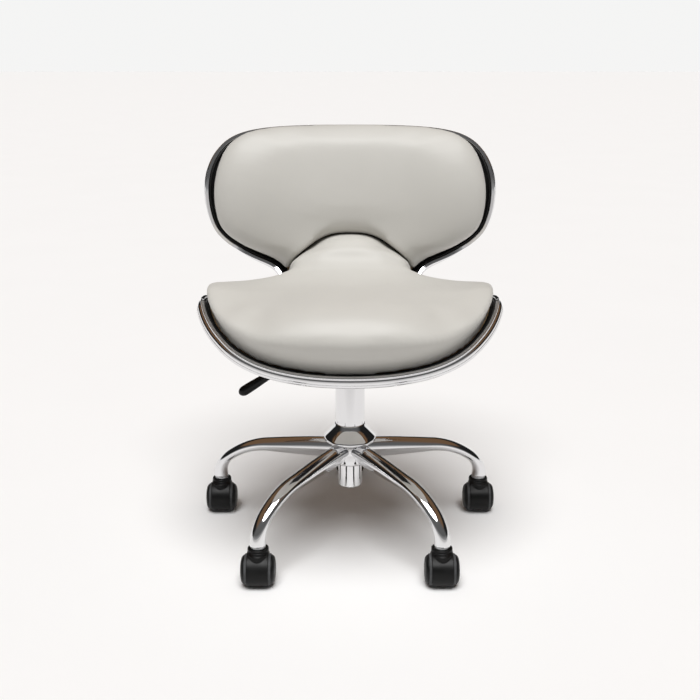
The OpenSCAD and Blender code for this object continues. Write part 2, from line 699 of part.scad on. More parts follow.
// A wheel turned about its axle: inner face, tread, shoulder and domed outer face with a blind bore
module wheel(i, side) {
    r = wheel_d / 2;
    inner = web_half + 0.6;
    outer = caster_w / 2;
    color(black) at_caster(i) across(0) mirror([0, 0, side < 0 ? 1 : 0]) rotate_extrude() difference() {
        polygon([
            [0, inner], [r - 1, inner], [r, inner + 1], [r, hood_w / 2 + 1.5], [r - 1.2, hood_w / 2 + 4],
            [r - 4, outer - 3], [r - 8, outer - 0.8], [r - 12, outer], [0, outer]]);
        square([axle_r + run_gap, outer - 6]);
    }
}

for (i = [1:LEG_COUNT]) {
    leg(i);
    caster_stem(i);
    caster_hood(i);
    caster_axle(i);
    wheel(i, -1);
    wheel(i, 1);
}
base_hub();
stand_tube();
guide_bush();
bearing_washer();
bearing_balls();
piston_rod();
rod_clip();
piston();
gas_cylinder();
release_pin();
seat_plate();
plate_bolts();
spacer_block();
pivot_pin();
lever_rod();
lever_grip();
shell_core();
rear_cover();
seat_pad();
back_pad();
edge_trim();
edge_welt();
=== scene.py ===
"""Rolling stylist stool: upholstered hourglass shell, chrome edge, gas lift and five-legged caster base."""
import json
import math

import bpy
import numpy as np
from bpy.props import FloatProperty, FloatVectorProperty, IntProperty, PointerProperty
from mathutils import Matrix, Vector
from mathutils.kdtree import KDTree


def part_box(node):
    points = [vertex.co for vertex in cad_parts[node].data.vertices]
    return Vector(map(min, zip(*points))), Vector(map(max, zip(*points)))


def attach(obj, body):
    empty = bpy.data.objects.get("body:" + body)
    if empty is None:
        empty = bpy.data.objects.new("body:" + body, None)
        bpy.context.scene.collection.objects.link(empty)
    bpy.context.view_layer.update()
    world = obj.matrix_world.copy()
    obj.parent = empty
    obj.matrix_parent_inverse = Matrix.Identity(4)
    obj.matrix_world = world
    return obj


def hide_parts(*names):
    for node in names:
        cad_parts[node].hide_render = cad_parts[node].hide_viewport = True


bl_info = {
    "name": "Rolling Stylist Stool",
    "version": (1, 0, 0),
    "blender": (4, 5, 0),
    "location": "3D View > Sidebar > Stool",
    "description": "Builds the upholstery, chrome and casters of a rolling stylist stool around its frame",
    "category": "Add Mesh",
}

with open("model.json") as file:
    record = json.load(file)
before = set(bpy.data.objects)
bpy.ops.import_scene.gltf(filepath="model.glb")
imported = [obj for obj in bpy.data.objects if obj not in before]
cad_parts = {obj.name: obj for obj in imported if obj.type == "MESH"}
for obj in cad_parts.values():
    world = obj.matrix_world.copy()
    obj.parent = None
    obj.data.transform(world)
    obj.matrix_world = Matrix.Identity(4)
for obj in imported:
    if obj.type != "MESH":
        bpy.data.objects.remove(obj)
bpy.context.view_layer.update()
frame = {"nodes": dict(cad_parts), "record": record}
LEGS = 5
VOXEL = 0.0045
PRESSURE = 4.0
MOST_SWELLING = 0.004
HELD_HEIGHT = 0.010
CREASE_ROUNDS = 26
SIDES = {"left": -1, "right": 1}


# ---- Sizes and colours that a user would change ----


def length(name, description, default):
    return FloatProperty(name=name, description=description, default=default, unit="LENGTH", precision=4)


def angle(name, description, degrees):
    return FloatProperty(name=name, description=description, default=math.radians(degrees), unit="ROTATION")


def colour(name, description, default):
    return FloatVectorProperty(
        name=name, description=description, default=default, size=3, min=0.0, max=1.0, subtype="COLOR"
    )


class ShellSizes(bpy.types.PropertyGroup):
    """Sizes of the bent shell and what covers it"""

    seat_w: length("Seat width", "Width of the seat shell", 0.480)
    back_w: length("Back width", "Width of the back shell", 0.496)
    waist_w: length("Waist width", "Width of the shell at its waist", 0.242)
    seat_len: length("Seat length", "From the front edge to the waist, along the shell", 0.345)
    back_len: length("Back length", "From the waist to the top edge, along the shell", 0.266)
    seat_front: length("Seat front", "Distance of the front edge from the swivel axis", 0.222)
    seat_height: length("Seat height", "Height of the shell's upper face over the swivel axis", 0.369)
    bend_r: length("Bend radius", "Radius of the bend between seat and back", 0.128)
    front_len: length("Front roll", "Length of the rolled front edge", 0.060)
    front_angle: angle("Front angle", "Slope of the front edge", 20)
    seat_angle: angle("Seat angle", "Slope of the seat", 6)
    back_angle: angle("Back angle", "Slope of the back at its foot", 84)
    top_angle: angle("Top angle", "Slope of the back at its top", 64)
    seat_rise: length("Seat rise", "Rise of the seat's sides", 0.065)
    back_wrap: length("Back wrap", "Forward wrap of the back's sides", 0.033)
    core_t: length("Core", "Thickness of the shell core", 0.010)
    seat_pad_t: length("Seat cushion", "Thickness of the seat cushion along its front", 0.092)
    lobe_t: length("Seat lobes", "Thickness of the seat cushion at its side lobes", 0.024)
    saddle_t: length("Saddle", "Thickness of the seat cushion over the waist", 0.088)
    back_pad_t: length("Back cushion", "Thickness of the back cushion", 0.055)
    pad_swell: length("Swell", "How far the cushions swell out over the welt", 0.010)
    tongue_h: length("Tongue", "Rise of the seat cushion's tongue above the waist", 0.079)
    trim_lip: length("Trim lip", "Width of the trim's front lip", 0.0055)
    welt_d: length("Welt", "Diameter of the welt between trim and cushion", 0.007)


class BaseSizes(bpy.types.PropertyGroup):
    """Sizes of the base, the casters and the lever"""

    caster_circle_r: length("Caster circle", "Radius of the circle that the caster stems stand on", 0.246)
    leg_bend_r: length("Leg bend", "Radius of the leg's long bend", 0.130)
    leg_foot_r: length("Leg foot", "Radius of the leg's short bend down to the caster", 0.055)
    leg_slope: angle("Leg slope", "Downward slope of the leg's straight stretch", 5)
    wheel_d: length("Wheel", "Wheel diameter", 0.050)
    caster_w: length("Caster width", "Width over both wheels of a caster", 0.055)
    hood_w: length("Hood width", "Width of the hood over the treads", 0.0345)
    trail: length("Trail", "How far the axle stands in front of the stem", 0.008)
    neck_r: length("Neck", "Radius of the hood's neck", 0.0165)
    lever_slope: angle("Lever slope", "Downward slope of the lever's outer stretch", 33)
    grip_d: length("Grip", "Largest diameter of the lever's grip", 0.017)
    grip_ribs: IntProperty(
        name="Grip ribs", description="Number of ribs on the grip", default=7, min=0, max=20
    )


class Finishes(bpy.types.PropertyGroup):
    """Colours of the stool's materials"""

    vinyl: colour("Vinyl", "Cushion and back vinyl", (0.600, 0.586, 0.548))
    chrome: colour("Chrome", "Polished chrome plate", (0.77, 0.77, 0.78))
    zinc: colour("Zinc", "Zinc-plated steel", (0.56, 0.57, 0.58))
    nylon: colour("Nylon", "Moulded black nylon", (0.0035, 0.0035, 0.0035))
    tread: colour("Tread", "Soft tread of the wheels", (0.055, 0.056, 0.058))
    paint: colour("Paint", "Black paint on the seat plate", (0.018, 0.018, 0.019))
    welt: colour("Welt", "Black piping", (0.008, 0.008, 0.008))
    wood: colour("Plywood", "Bare plywood of the shell", (0.52, 0.36, 0.20))
    thread: colour("Thread", "Stitching on the rear cover", (0.48, 0.465, 0.43))


class StudioSettings(bpy.types.PropertyGroup):
    """Camera, light and floor"""

    camera_y: length("Camera distance", "How far the camera stands in front of the swivel axis", 1.670)
    camera_z: length("Camera height", "Height of the camera", 0.820)
    camera_tilt: angle("Camera tilt", "Downward tilt of the camera", 16.55)
    lens: FloatProperty(name="Lens", description="Focal length in millimetres", default=53.18)
    key_angle: angle("Key height", "Height of the key light over the horizon", 68)
    key_power: FloatProperty(name="Key power", description="Strength of the key light", default=3.2)
    floor: colour("Floor", "Paper floor round the stool", (0.92, 0.92, 0.92))


# ---- Small workshop helpers ----


def settings(group):
    return getattr(bpy.context.scene, group)


def new_mesh(name, points, faces, material=None, crease=40.0):
    """A piece with smooth faces and sharp edges past the crease angle."""
    mesh = bpy.data.meshes.new(name)
    mesh.from_pydata([tuple(p) for p in points], [], [tuple(int(i) for i in f) for f in faces])
    mesh.validate()
    piece = bpy.data.objects.new(name, mesh)
    bpy.context.scene.collection.objects.link(piece)
    if material is not None:
        mesh.materials.append(material)
    smooth(piece, crease)
    return piece


def smooth(piece, crease=40.0):
    piece.data.shade_smooth()
    piece.data.set_sharp_from_angle(angle=math.radians(crease))


def points_of(mesh):
    flat = np.empty(len(mesh.vertices) * 3, np.float32)
    mesh.vertices.foreach_get("co", flat)
    return flat.reshape(-1, 3).astype(float)


def set_points(mesh, points):
    mesh.vertices.foreach_set("co", np.asarray(points, np.float32).ravel())
    mesh.update()


def lofted(rings, close_rings=False, caps=True):
    """Points and faces of a skin over rings of equal count, each anticlockwise seen from its end."""
    rings = np.asarray(rings, float)
    n, m = rings.shape[:2]
    points = rings.reshape(-1, 3)
    faces = []
    for i in range(n if close_rings else n - 1):
        for j in range(m):
            a, b = i * m + j, i * m + (j + 1) % m
            c, d = ((i + 1) % n) * m + (j + 1) % m, ((i + 1) % n) * m + j
            faces.append((a, b, c, d))
    if caps and not close_rings:
        faces.append(tuple(range(m - 1, -1, -1)))
        faces.append(tuple((n - 1) * m + j for j in range(m)))
    return points, faces


def turned(profile, segments=64):
    """Rings of a profile [radius, height] turned about Z, from the first point to the last."""
    turn = np.arange(segments) * 2 * math.pi / segments
    return np.array([
        np.stack([r * np.cos(turn), r * np.sin(turn), np.full(segments, h)], -1) for r, h in profile
    ])


def eased(x, xs, ys):
    """A smooth curve through the given points, level at both ends."""
    xs, ys, x = np.asarray(xs, float), np.asarray(ys, float), np.asarray(x, float)
    slope = np.gradient(ys, xs)
    slope[0] = slope[-1] = 0.0
    x = np.clip(x, xs[0], xs[-1])
    i = np.clip(np.searchsorted(xs, x, side="right") - 1, 0, len(xs) - 2)
    h = xs[i + 1] - xs[i]
    t = (x - xs[i]) / h
    return (
        (1 + 2 * t) * (1 - t) ** 2 * ys[i] + t * (1 - t) ** 2 * h * slope[i]
        + t * t * (3 - 2 * t) * ys[i + 1] + t * t * (t - 1) * h * slope[i + 1]
    )


def applied(piece, *modifiers):
    """Makes what the piece's modifiers show its own mesh."""
    graph = bpy.context.evaluated_depsgraph_get()
    mesh = bpy.data.meshes.new_from_object(piece.evaluated_get(graph))
    for modifier in modifiers:
        piece.modifiers.remove(modifier)
    piece.data = mesh
    return piece


def join_points(parts):
    """One list of points and faces from several."""
    points, faces, start = [], [], 0
    for p, f in parts:
        points.append(np.asarray(p, float))
        faces += [tuple(start + i for i in face) for face in f]
        start += len(p)
    return np.vstack(points), faces


def belongs(piece, body, slot, *nodes):
    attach(piece, body)
    if nodes:
        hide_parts(*nodes)
    return piece


# ---- Materials ----


def add(tree, kind, inputs=None, **options):
    """A node with its options set, and values or links on its inputs."""
    node = tree.nodes.new(kind)
    for key, value in options.items():
        setattr(node, key, value)
    for key, value in (inputs or {}).items():
        if isinstance(value, bpy.types.NodeSocket):
            tree.links.new(value, node.inputs[key])
        else:
            node.inputs[key].default_value = value
    return node


def start_material(name, **uniform):
    """A material, its tree, its shader and the Object coordinates; uniform values go on the shader itself."""
    material = bpy.data.materials.new(name)
    material.use_nodes = True
    tree = material.node_tree
    shader = next(n for n in tree.nodes if n.type == "BSDF_PRINCIPLED")
    for key, value in uniform.items():
        shader.inputs[key.replace("_", " ")].default_value = value
    where = add(tree, "ShaderNodeTexCoord").outputs["Object"]
    return material, tree, shader, where


def noise(tree, where, scale, detail=2.0, rough=0.5):
    return add(
        tree, "ShaderNodeTexNoise", {"Vector": where, "Scale": scale, "Detail": detail, "Roughness": rough}
    ).outputs["Fac"]


def spread(tree, value, low, high, start=0.3, end=0.7):
    return add(
        tree, "ShaderNodeMapRange",
        {"Value": value, "From Min": start, "From Max": end, "To Min": low, "To Max": high},
    ).outputs["Result"]


def shaded(tree, shader, tone, value, darker, lighter):
    """Colour that wanders between two strengths of one tone."""
    ramp = add(tree, "ShaderNodeMix", {"Factor": value}, data_type="RGBA")
    ramp.inputs["A"].default_value = (*[c * darker for c in tone], 1.0)
    ramp.inputs["B"].default_value = (*[min(1.0, c * lighter) for c in tone], 1.0)
    tree.links.new(ramp.outputs["Result"], shader.inputs["Base Color"])


def bump(tree, shader, *layers):
    """Bump layers, each (height, strength, distance in metres)."""
    normal = None
    for height, strength, distance in layers:
        inputs = {"Height": height, "Strength": strength, "Distance": distance}
        if normal is not None:
            inputs["Normal"] = normal
        normal = add(tree, "ShaderNodeBump", inputs).outputs["Normal"]
    tree.links.new(normal, shader.inputs["Normal"])


def leatherette(name, tone):
    """Soft vinyl: a fine pebble grain, faint creases and a slightly uneven sheen."""
    material, tree, shader, where = start_material(
        name, Specular_IOR_Level=0.42, Sheen_Weight=0.06, Sheen_Roughness=0.4
    )
    stray = add(tree, "ShaderNodeTexNoise", {"Vector": where, "Scale": 160.0}).outputs["Color"]
    warp = add(
        tree, "ShaderNodeVectorMath", {0: stray, 1: (0.0012, 0.0012, 0.0012), 2: where},
        operation="MULTIPLY_ADD",
    )
    pebble = add(
        tree, "ShaderNodeTexVoronoi", {"Vector": warp.outputs["Vector"], "Scale": 780.0},
        feature="DISTANCE_TO_EDGE",
    ).outputs["Distance"]
    pores = spread(tree, pebble, 0.0, 1.0, 0.0, 0.16)
    cloud = noise(tree, where, 7.0, 3.0)
    fine = noise(tree, where, 420.0, 3.0)
    shaded(tree, shader, tone, spread(tree, cloud, 0.0, 1.0), 0.965, 1.02)
    tree.links.new(spread(tree, cloud, 0.40, 0.50), shader.inputs["Roughness"])
    bump(tree, shader, (pores, 0.22, 0.00012), (fine, 0.12, 0.00015))
    return material


def chrome_plate(name, tone):
    """Mirror plate with a breath of orange peel and fine polishing haze."""
    material, tree, shader, where = start_material(name, Metallic=1.0, Specular_IOR_Level=0.5)
    shader.inputs["Base Color"].default_value = (*tone, 1.0)
    haze = noise(tree, where, 55.0, 4.0)
    peel = noise(tree, where, 210.0, 1.0)
    tree.links.new(spread(tree, haze, 0.035, 0.085), shader.inputs["Roughness"])
    bump(tree, shader, (peel, 0.03, 0.0004))
    return material


def zinc_plate(name, tone):
    """Zinc-plated steel with a turned grain and a dull film."""
    material, tree, shader, where = start_material(name, Metallic=1.0)
    stretch = add(tree, "ShaderNodeMapping", {"Vector": where, "Scale": (400.0, 400.0, 3000.0)})
    grain = noise(tree, stretch.outputs["Vector"], 1.0, 3.0)
    film = noise(tree, where, 90.0, 4.0)
    shaded(tree, shader, tone, spread(tree, film, 0.0, 1.0), 0.82, 1.05)
    tree.links.new(spread(tree, film, 0.24, 0.42), shader.inputs["Roughness"])
    bump(tree, shader, (grain, 0.10, 0.0001))
    return material


def moulded(name, tone, low_rough, high_rough, grain_scale=1500.0, strength=0.16):
    """Moulded plastic or rubber: spark-eroded grain, and skin that is a little uneven in gloss."""
    material, tree, shader, where = start_material(name, Specular_IOR_Level=0.22)
    wear = noise(tree, where, 45.0, 4.0)
    grain = noise(tree, where, grain_scale, 2.0)
    flow = noise(tree, where, 120.0, 2.0)
    shaded(tree, shader, tone, spread(tree, wear, 0.0, 1.0), 0.8, 1.5)
    tree.links.new(spread(tree, wear, low_rough, high_rough), shader.inputs["Roughness"])
    bump(tree, shader, (flow, 0.05, 0.0005), (grain, strength, 0.0001))
    return material


def plywood(name, tone):
    """Birch plywood: long soft figure and fine pores."""
    material, tree, shader, where = start_material(name, Roughness=0.6)
    stretch = add(tree, "ShaderNodeMapping", {"Vector": where, "Scale": (60.0, 6.0, 60.0)})
    figure = noise(tree, stretch.outputs["Vector"], 1.0, 6.0, 0.6)
    shaded(tree, shader, tone, spread(tree, figure, 0.0, 1.0), 0.6, 1.15)
    bump(tree, shader, (figure, 0.3, 0.0003))
    return material


class Stock:
    """The materials, each made once from the chosen finishes."""

    made = {}

    @classmethod
    def get(cls, name):
        if name not in cls.made:
            tones = settings("stool_finishes")
            makers = {
                "vinyl": lambda: leatherette("Warm_grey_vinyl", tones.vinyl),
                "thread": lambda: moulded("Cover_thread", tones.thread, 0.5, 0.7, 2500.0, 0.4),
                "chrome": lambda: chrome_plate("Polished_chrome", tones.chrome),
                "zinc": lambda: zinc_plate("Zinc_plated_steel", tones.zinc),
                "nylon": lambda: moulded("Black_nylon", tones.nylon, 0.34, 0.5),
                "tread": lambda: moulded("Grey_tread", tones.tread, 0.5, 0.65, 900.0, 0.25),
                "grip": lambda: moulded("Gloss_grip", tones.nylon, 0.2, 0.32, 700.0, 0.06),
                "paint": lambda: moulded("Black_paint", tones.paint, 0.3, 0.45, 500.0, 0.12),
                "welt": lambda: moulded("Black_piping", tones.welt, 0.32, 0.5, 1100.0, 0.2),
                "wood": lambda: plywood("Birch_plywood", tones.wood),
            }
            cls.made[name] = makers[name]()
        return cls.made[name]


SLOT_FINISH = {
    "chrome": "chrome",
    "steel": "zinc",
    "black_nylon": "nylon",
    "black_paint": "paint",
    "grip_plastic": "grip",
    "plywood": "wood",
    "vinyl": "vinyl",
    "black_welt": "welt",
}


# ---- The shell's surface ----


def clamp01(t):
    return np.clip(t, 0.0, 1.0)


def ease(t):
    t = clamp01(t)
    return t * t * (3 - 2 * t)


def unit(v):
    return v / np.linalg.norm(v, axis=-1, keepdims=True)


class Shell:
    """The bent shell: x runs across it and s along its middle from the front edge to the top edge."""

    def __init__(self):
        z = settings("stool_shell")
        self.z = z
        bend_len = z.bend_r * (z.back_angle - z.seat_angle)
        bend_start = z.seat_len - 0.66 * bend_len
        self.shell_len = z.seat_len + z.back_len
        self.stretches = [
            (z.front_len, z.front_angle, z.seat_angle),
            (bend_start - z.front_len, z.seat_angle, z.seat_angle),
            (bend_len, z.seat_angle, z.back_angle),
            (self.shell_len - bend_start - bend_len, z.back_angle, z.top_angle),
        ]
        self.front_z = 0.0
        roll_y, roll_z, _ = self.profile(np.array(z.front_len))
        self.front_z = z.seat_height - roll_z - (z.seat_front - roll_y) * math.tan(z.seat_angle)
        hs, hw, hb = z.seat_w / 2, z.waist_w / 2, z.back_w / 2
        sl, bl = z.seat_len, z.back_len
        half = [
            (0, 0), (0.375 * hs, 0.002), (0.84 * hs, 0.087 * sl), (1.083 * hs, 0.522 * sl),
            (0.825 * hs, 0.725 * sl), (0.95 * hw, 0.916 * sl), (1.025 * hw, sl + 0.056 * bl),
            (0.63 * hw + 0.37 * hb, sl + 0.105 * bl), (0.2 * hw + 0.8 * hb, sl + 0.248 * bl),
            (0.98 * hb, sl + 0.357 * bl), (1.02 * hb, sl + 0.583 * bl), (0.944 * hb, sl + 0.8 * bl),
            (0.782 * hb, sl + 0.929 * bl), (0.444 * hb, sl + 0.985 * bl), (0, sl + bl),
        ]
        self.spans = len(half) - 1
        mirror = np.array([-1.0, 1.0])
        guide = np.array(half, float)
        self.guide = np.vstack([guide[1] * mirror, guide, guide[-2] * mirror])
        self.pad_inset = z.trim_lip + z.welt_d + 0.0023
        self.tongue_half = hw - self.pad_inset + 0.006

    def profile(self, s):
        """y and z of the middle line from its front end, and its slope, at length s."""
        s = np.asarray(s, float)
        y, height, slope = np.zeros_like(s), np.zeros_like(s), np.zeros_like(s)
        at, y0, z0 = 0.0, 0.0, 0.0
        for number, (reach, first, last) in enumerate(self.stretches):
            turn = (last - first) / reach

            def run(d):
                end = first + turn * d
                if abs(turn) < 1e-9:
                    return d * math.cos(first), d * math.sin(first), end
                return (np.sin(end) - math.sin(first)) / turn, (math.cos(first) - np.cos(end)) / turn, end

            here = (s >= at) if number else np.ones_like(s, bool)
            dy, dz, end = run(s - at)
            y = np.where(here, y0 + dy, y)
            height = np.where(here, z0 + dz, height)
            slope = np.where(here, end, slope)
            dy, dz, end = run(reach)
            y0, z0, at = y0 + float(dy), z0 + float(dz), at + reach
        return y, height, slope

    def lift(self, s):
        """How far the sides stand in front of the middle, per unit of squared half width."""
        z = self.z
        seat = z.seat_rise * np.sqrt(clamp01((s + 0.06) / 0.2))
        seat = seat * (1 - ease((s - 0.38 * z.seat_len) / (0.84 * z.seat_len)))
        return seat + z.back_wrap * ease((s - z.seat_len) / (0.7 * z.back_len))

    def base(self, x, s):
        x, s = np.broadcast_arrays(np.asarray(x, float), np.asarray(s, float))
        y, height, slope = self.profile(s)
        d = self.lift(s) * (2 * x / self.z.seat_w) ** 2
        return np.stack(
            [x, y - self.z.seat_front - np.sin(slope) * d, height + self.front_z + np.cos(slope) * d], -1
        )

    def normal(self, x, s, e=0.0005):
        across = self.base(x + e, s) - self.base(x - e, s)
        along = self.base(x, s + e) - self.base(x, s - e)
        return unit(np.cross(across, along))

    def at(self, x, s, h=0.0):
        """Point at height h over the core's upper face."""
        return self.base(x, s) + np.asarray(h, float)[..., None] * self.normal(x, s)

    def half_outline(self, u):
        u = np.asarray(u, float)
        i = np.minimum(np.floor(u).astype(int), self.spans - 1)
        i = np.maximum(i, 0)
        t = (u - i)[..., None]
        a, b, c, d = (self.guide[i + k] for k in range(4))
        return (
            (1 - t) ** 3 * a + (3 * t**3 - 6 * t * t + 4) * b
            + (3 * t + 3 * t * t - 3 * t**3 + 1) * c + t**3 * d
        ) / 6

    def half_direction(self, u):
        low, high = np.maximum(u - 0.02, 0.0), np.minimum(u + 0.02, self.spans)
        return unit(self.half_outline(high) - self.half_outline(low))

    def stations(self, per_span):
        """Signed stations round the whole outline, anticlockwise from the front middle."""
        half = np.arange(1, self.spans * per_span) / per_span
        return np.concatenate([[0.0], half, [float(self.spans)], -half[::-1]])

    def edge_frames(self, per_span):
        """Base points, outward and upward directions round the whole edge."""
        u = self.stations(per_span)
        side = np.where(u < 0, -1.0, 1.0)
        p, d = self.half_outline(np.abs(u)), self.half_direction(np.abs(u))
        x, s = side * p[:, 0], p[:, 1]
        e = 0.001
        ahead = self.base(x + side * e * d[:, 0], s + e * d[:, 1])
        along = ahead - self.base(x - side * e * d[:, 0], s - e * d[:, 1])
        up = self.normal(x, s)
        out = side[:, None] * unit(np.cross(along, up))
        return self.base(x, s), out, up

    def inset_half(self, inset, per_span):
        u = np.arange(1, self.spans * per_span) / per_span
        p, d = self.half_outline(u), self.half_direction(u)
        return p + inset * np.stack([-d[:, 1], d[:, 0]], -1)

    def seam_s(self, x):
        """Length along the shell at which the seat's tongue meets the back cushion."""
        reach = 1 - np.minimum(1.0, np.abs(x) / self.tongue_half) ** 2.7
        return self.z.seat_len + self.z.tongue_h * reach

    def cushion_loop(self, kind, per_span=14, gap=0.0012, extra=0.0):
        """Closed outline (x, s) of the seat or back cushion."""
        z = self.z
        edge = self.inset_half(self.pad_inset + extra, per_span)
        seam_x = np.linspace(0, 0.93, 26)[1:] * (self.tongue_half - extra)
        if kind == "seat":
            flank = edge[edge[:, 1] < z.seat_len - 0.001]
            seam = np.stack([seam_x, self.seam_s(seam_x) - gap - extra], -1)[::-1]
            half = np.vstack([flank, seam])
            first, last = edge[0, 1] - 0.0003, z.seat_len + z.tongue_h - gap - extra
        else:
            seam = np.stack([seam_x, self.seam_s(seam_x) + gap + extra], -1)
            half = np.vstack([seam, edge[edge[:, 1] > z.seat_len + 0.007]])
            first, last = z.seat_len + z.tongue_h + gap + extra, edge[-1, 1]
        mirrored = half[::-1] * np.array([-1.0, 1.0])
        return np.vstack([[[0.0, first]], half, [[0.0, last]], mirrored])


# ---- Padded pieces ----


def even_loop(loop, count):
    """The same closed loop with evenly spaced points, starting at the same place."""
    closed = np.vstack([loop, loop[:1]])
    run = np.concatenate([[0.0], np.cumsum(np.linalg.norm(np.diff(closed, axis=0), axis=1))])
    at = np.linspace(0, run[-1], count, endpoint=False)
    return np.stack([np.interp(at, run, closed[:, k]) for k in range(2)], -1)


def pad_thickness(z, kind, x, s):
    """The seat is full along its middle, low at its lobes and a saddle over the waist; the back is even."""
    if kind == "back":
        return np.full_like(x, z.back_pad_t)
    back = ease((s / z.seat_len - 0.35) / 0.5)
    flat_t = z.seat_pad_t * (1 - 0.18 * ease((s - 0.050) / 0.190))
    front = np.exp(-0.5 * (np.abs(x) / (0.2915 * z.seat_w)) ** 3)
    over = np.exp(-0.5 * (np.abs(x) / (0.58 * z.waist_w)) ** 4)
    return z.lobe_t + (flat_t - z.lobe_t) * front * (1 - back) + (z.saddle_t - z.lobe_t) * over * back


def pad_swell(z, kind, x, s):
    """How far the wall swells out: most at the front and the top of the back, not at all along the seam."""
    if kind == "seat":
        front, lobe = 1 - ease(s / 0.120), ease((np.abs(x) - 0.150) / 0.040) * ease(s / 0.120)
        return z.pad_swell * ease((z.seat_len - 0.030 - s) / 0.080) * (1 + 2.0 * front + 2.4 * lobe)
    top = 0.7 + 0.7 * ease((s - z.seat_len - 0.170) / 0.070)
    return z.pad_swell * ease((s - z.seat_len - 0.050) / 0.060) * top


def cushion_mesh(name, shell, kind, centre_s, fullness, count=280, skin=0.0):
    """A closed cushion: a low wall round its outline swells out and rolls over into a full crown."""
    z = shell.z
    loop = even_loop(shell.cushion_loop(kind, extra=0.0004 + skin), count)
    centre = np.array([0.0, centre_s])
    gap, wall = 0.0022 + skin, 0.009
    high = 1.5 if kind == "seat" else 1.0
    ahead = np.roll(loop, -2, axis=0) - np.roll(loop, 2, axis=0)
    out = unit(np.stack([ahead[:, 1], -ahead[:, 0]], -1))
    rise = np.sin(np.linspace(0, 0.46 * math.pi, 30))
    radii = (1 - rise**2) ** (1 / fullness)
    inner = np.linspace(radii[-1], 0, 26)[1:-1]
    radii = np.concatenate([radii, inner])
    rise = np.concatenate([rise, np.sqrt(1 - inner**fullness)])
    top = []
    for r, c in zip(radii, rise):
        flat = centre + r * (loop - centre)
        thick = pad_thickness(z, kind, flat[:, 0], flat[:, 1]) - skin
        over = (thick - wall) * c
        roll = np.sin(math.pi * np.minimum(1.0, over / (1.1 * thick)) ** high) * r**4
        flat = flat + (pad_swell(z, kind, loop[:, 0], loop[:, 1]) * roll)[:, None] * out
        top.append(shell.at(flat[:, 0], flat[:, 1], gap + wall + over))
    low = []
    for r in np.linspace(0.04, 1, 18):
        flat = centre + r * (loop - centre)
        low.append(shell.at(flat[:, 0], flat[:, 1], np.full(count, gap)))
    points, faces = lofted(np.array(low + top), caps=False)
    summit = pad_thickness(z, kind, np.array([0.0]), np.array([centre_s])) - skin
    poles = [shell.at(np.array(0.0), np.array(centre_s), np.array(h)) for h in (gap, gap + float(summit[0]))]
    n = len(points)
    points = np.vstack([points, poles])
    faces += [(n, (j + 1) % count, j) for j in range(count)]
    last = (len(low) + len(top) - 1) * count
    faces += [(n + 1, last + j, last + (j + 1) % count) for j in range(count)]
    return new_mesh(name, points, faces, crease=180)


def remeshed(piece, voxel):
    """The cushion in even square facets, drawn back onto its first surface."""
    source = piece.copy()
    source.data = piece.data.copy()
    bpy.context.scene.collection.objects.link(source)
    remesh = piece.modifiers.new("Even_facets", "REMESH")
    remesh.mode = "VOXEL"
    remesh.voxel_size = voxel
    remesh.use_smooth_shade = True
    applied(piece, remesh)
    wrap = piece.modifiers.new("Back_to_form", "SHRINKWRAP")
    wrap.target = source
    relax = piece.modifiers.new("Relax", "CORRECTIVE_SMOOTH")
    relax.factor = 0.5
    relax.iterations = 4
    relax.use_only_smooth = True
    applied(piece, wrap, relax)
    bpy.data.objects.remove(source)
    return piece


def stuffed(piece, shell, pressure, cap, held_h):
    """Swells the cushion by a cloth simulation, held near the shell; no point moves past the cap."""
    scene = bpy.context.scene
    before = points_of(piece.data)
    over = height_over_shell(shell, before)
    free = ease((over - held_h) / 0.018)
    held = piece.vertex_groups.new(name="Held")
    for index, weight in enumerate(1 - free):
        if weight > 0.01:
            held.add([index], float(weight), "REPLACE")
    cloth = piece.modifiers.new("Stuffing", "CLOTH")
    fabric = cloth.settings
    fabric.quality = 4
    fabric.mass = 0.3
    fabric.tension_stiffness = 18
    fabric.compression_stiffness = 12
    fabric.shear_stiffness = 8
    fabric.bending_stiffness = 1.5
    fabric.use_pressure = True
    fabric.uniform_pressure_force = pressure
    fabric.vertex_group_mass = "Held"
    fabric.effector_weights.gravity = 0
    cloth.collision_settings.use_collision = False
    cloth.collision_settings.use_self_collision = False
    cloth.point_cache.frame_start = 1
    cloth.point_cache.frame_end = 20
    for step in range(1, 21):
        scene.frame_set(step)
    graph = bpy.context.evaluated_depsgraph_get()
    swollen = points_of(piece.evaluated_get(graph).to_mesh())
    piece.modifiers.remove(cloth)
    scene.frame_set(1)
    move = evened(piece.data, swollen - before, CREASE_ROUNDS)
    far = np.linalg.norm(move, axis=1, keepdims=True)
    move *= free[:, None] * cap * np.tanh(far / cap) / np.maximum(far, 1e-9)
    set_points(piece.data, before + move)
    piece.vertex_groups.clear()
    return piece


def evened(mesh, field, rounds):
    """A value at each point, blended with its neighbours' over some rounds, so no small crease stays."""
    ends = np.empty(len(mesh.edges) * 2, dtype=np.int32)
    mesh.edges.foreach_get("vertices", ends)
    first, second = ends[0::2], ends[1::2]
    count = np.bincount(ends, minlength=len(field))[:, None]
    for _ in range(rounds):
        around = np.zeros_like(field)
        np.add.at(around, first, field[second])
        np.add.at(around, second, field[first])
        field = 0.5 * field + 0.5 * around / count
    return field


def height_over_shell(shell, points):
    """Rough height of points over the shell's upper face, from a grid of surface samples."""
    x, s = np.meshgrid(np.linspace(-0.26, 0.26, 105), np.linspace(-0.01, shell.shell_len + 0.01, 125))
    base = shell.base(x, s).reshape(-1, 3)
    up = shell.normal(x, s).reshape(-1, 3)
    tree = KDTree(len(base))
    for i, p in enumerate(base):
        tree.insert(p, i)
    tree.balance()
    nearest = np.array([tree.find(p)[1] for p in points])
    return np.einsum("ij,ij->i", points - base[nearest], up[nearest])


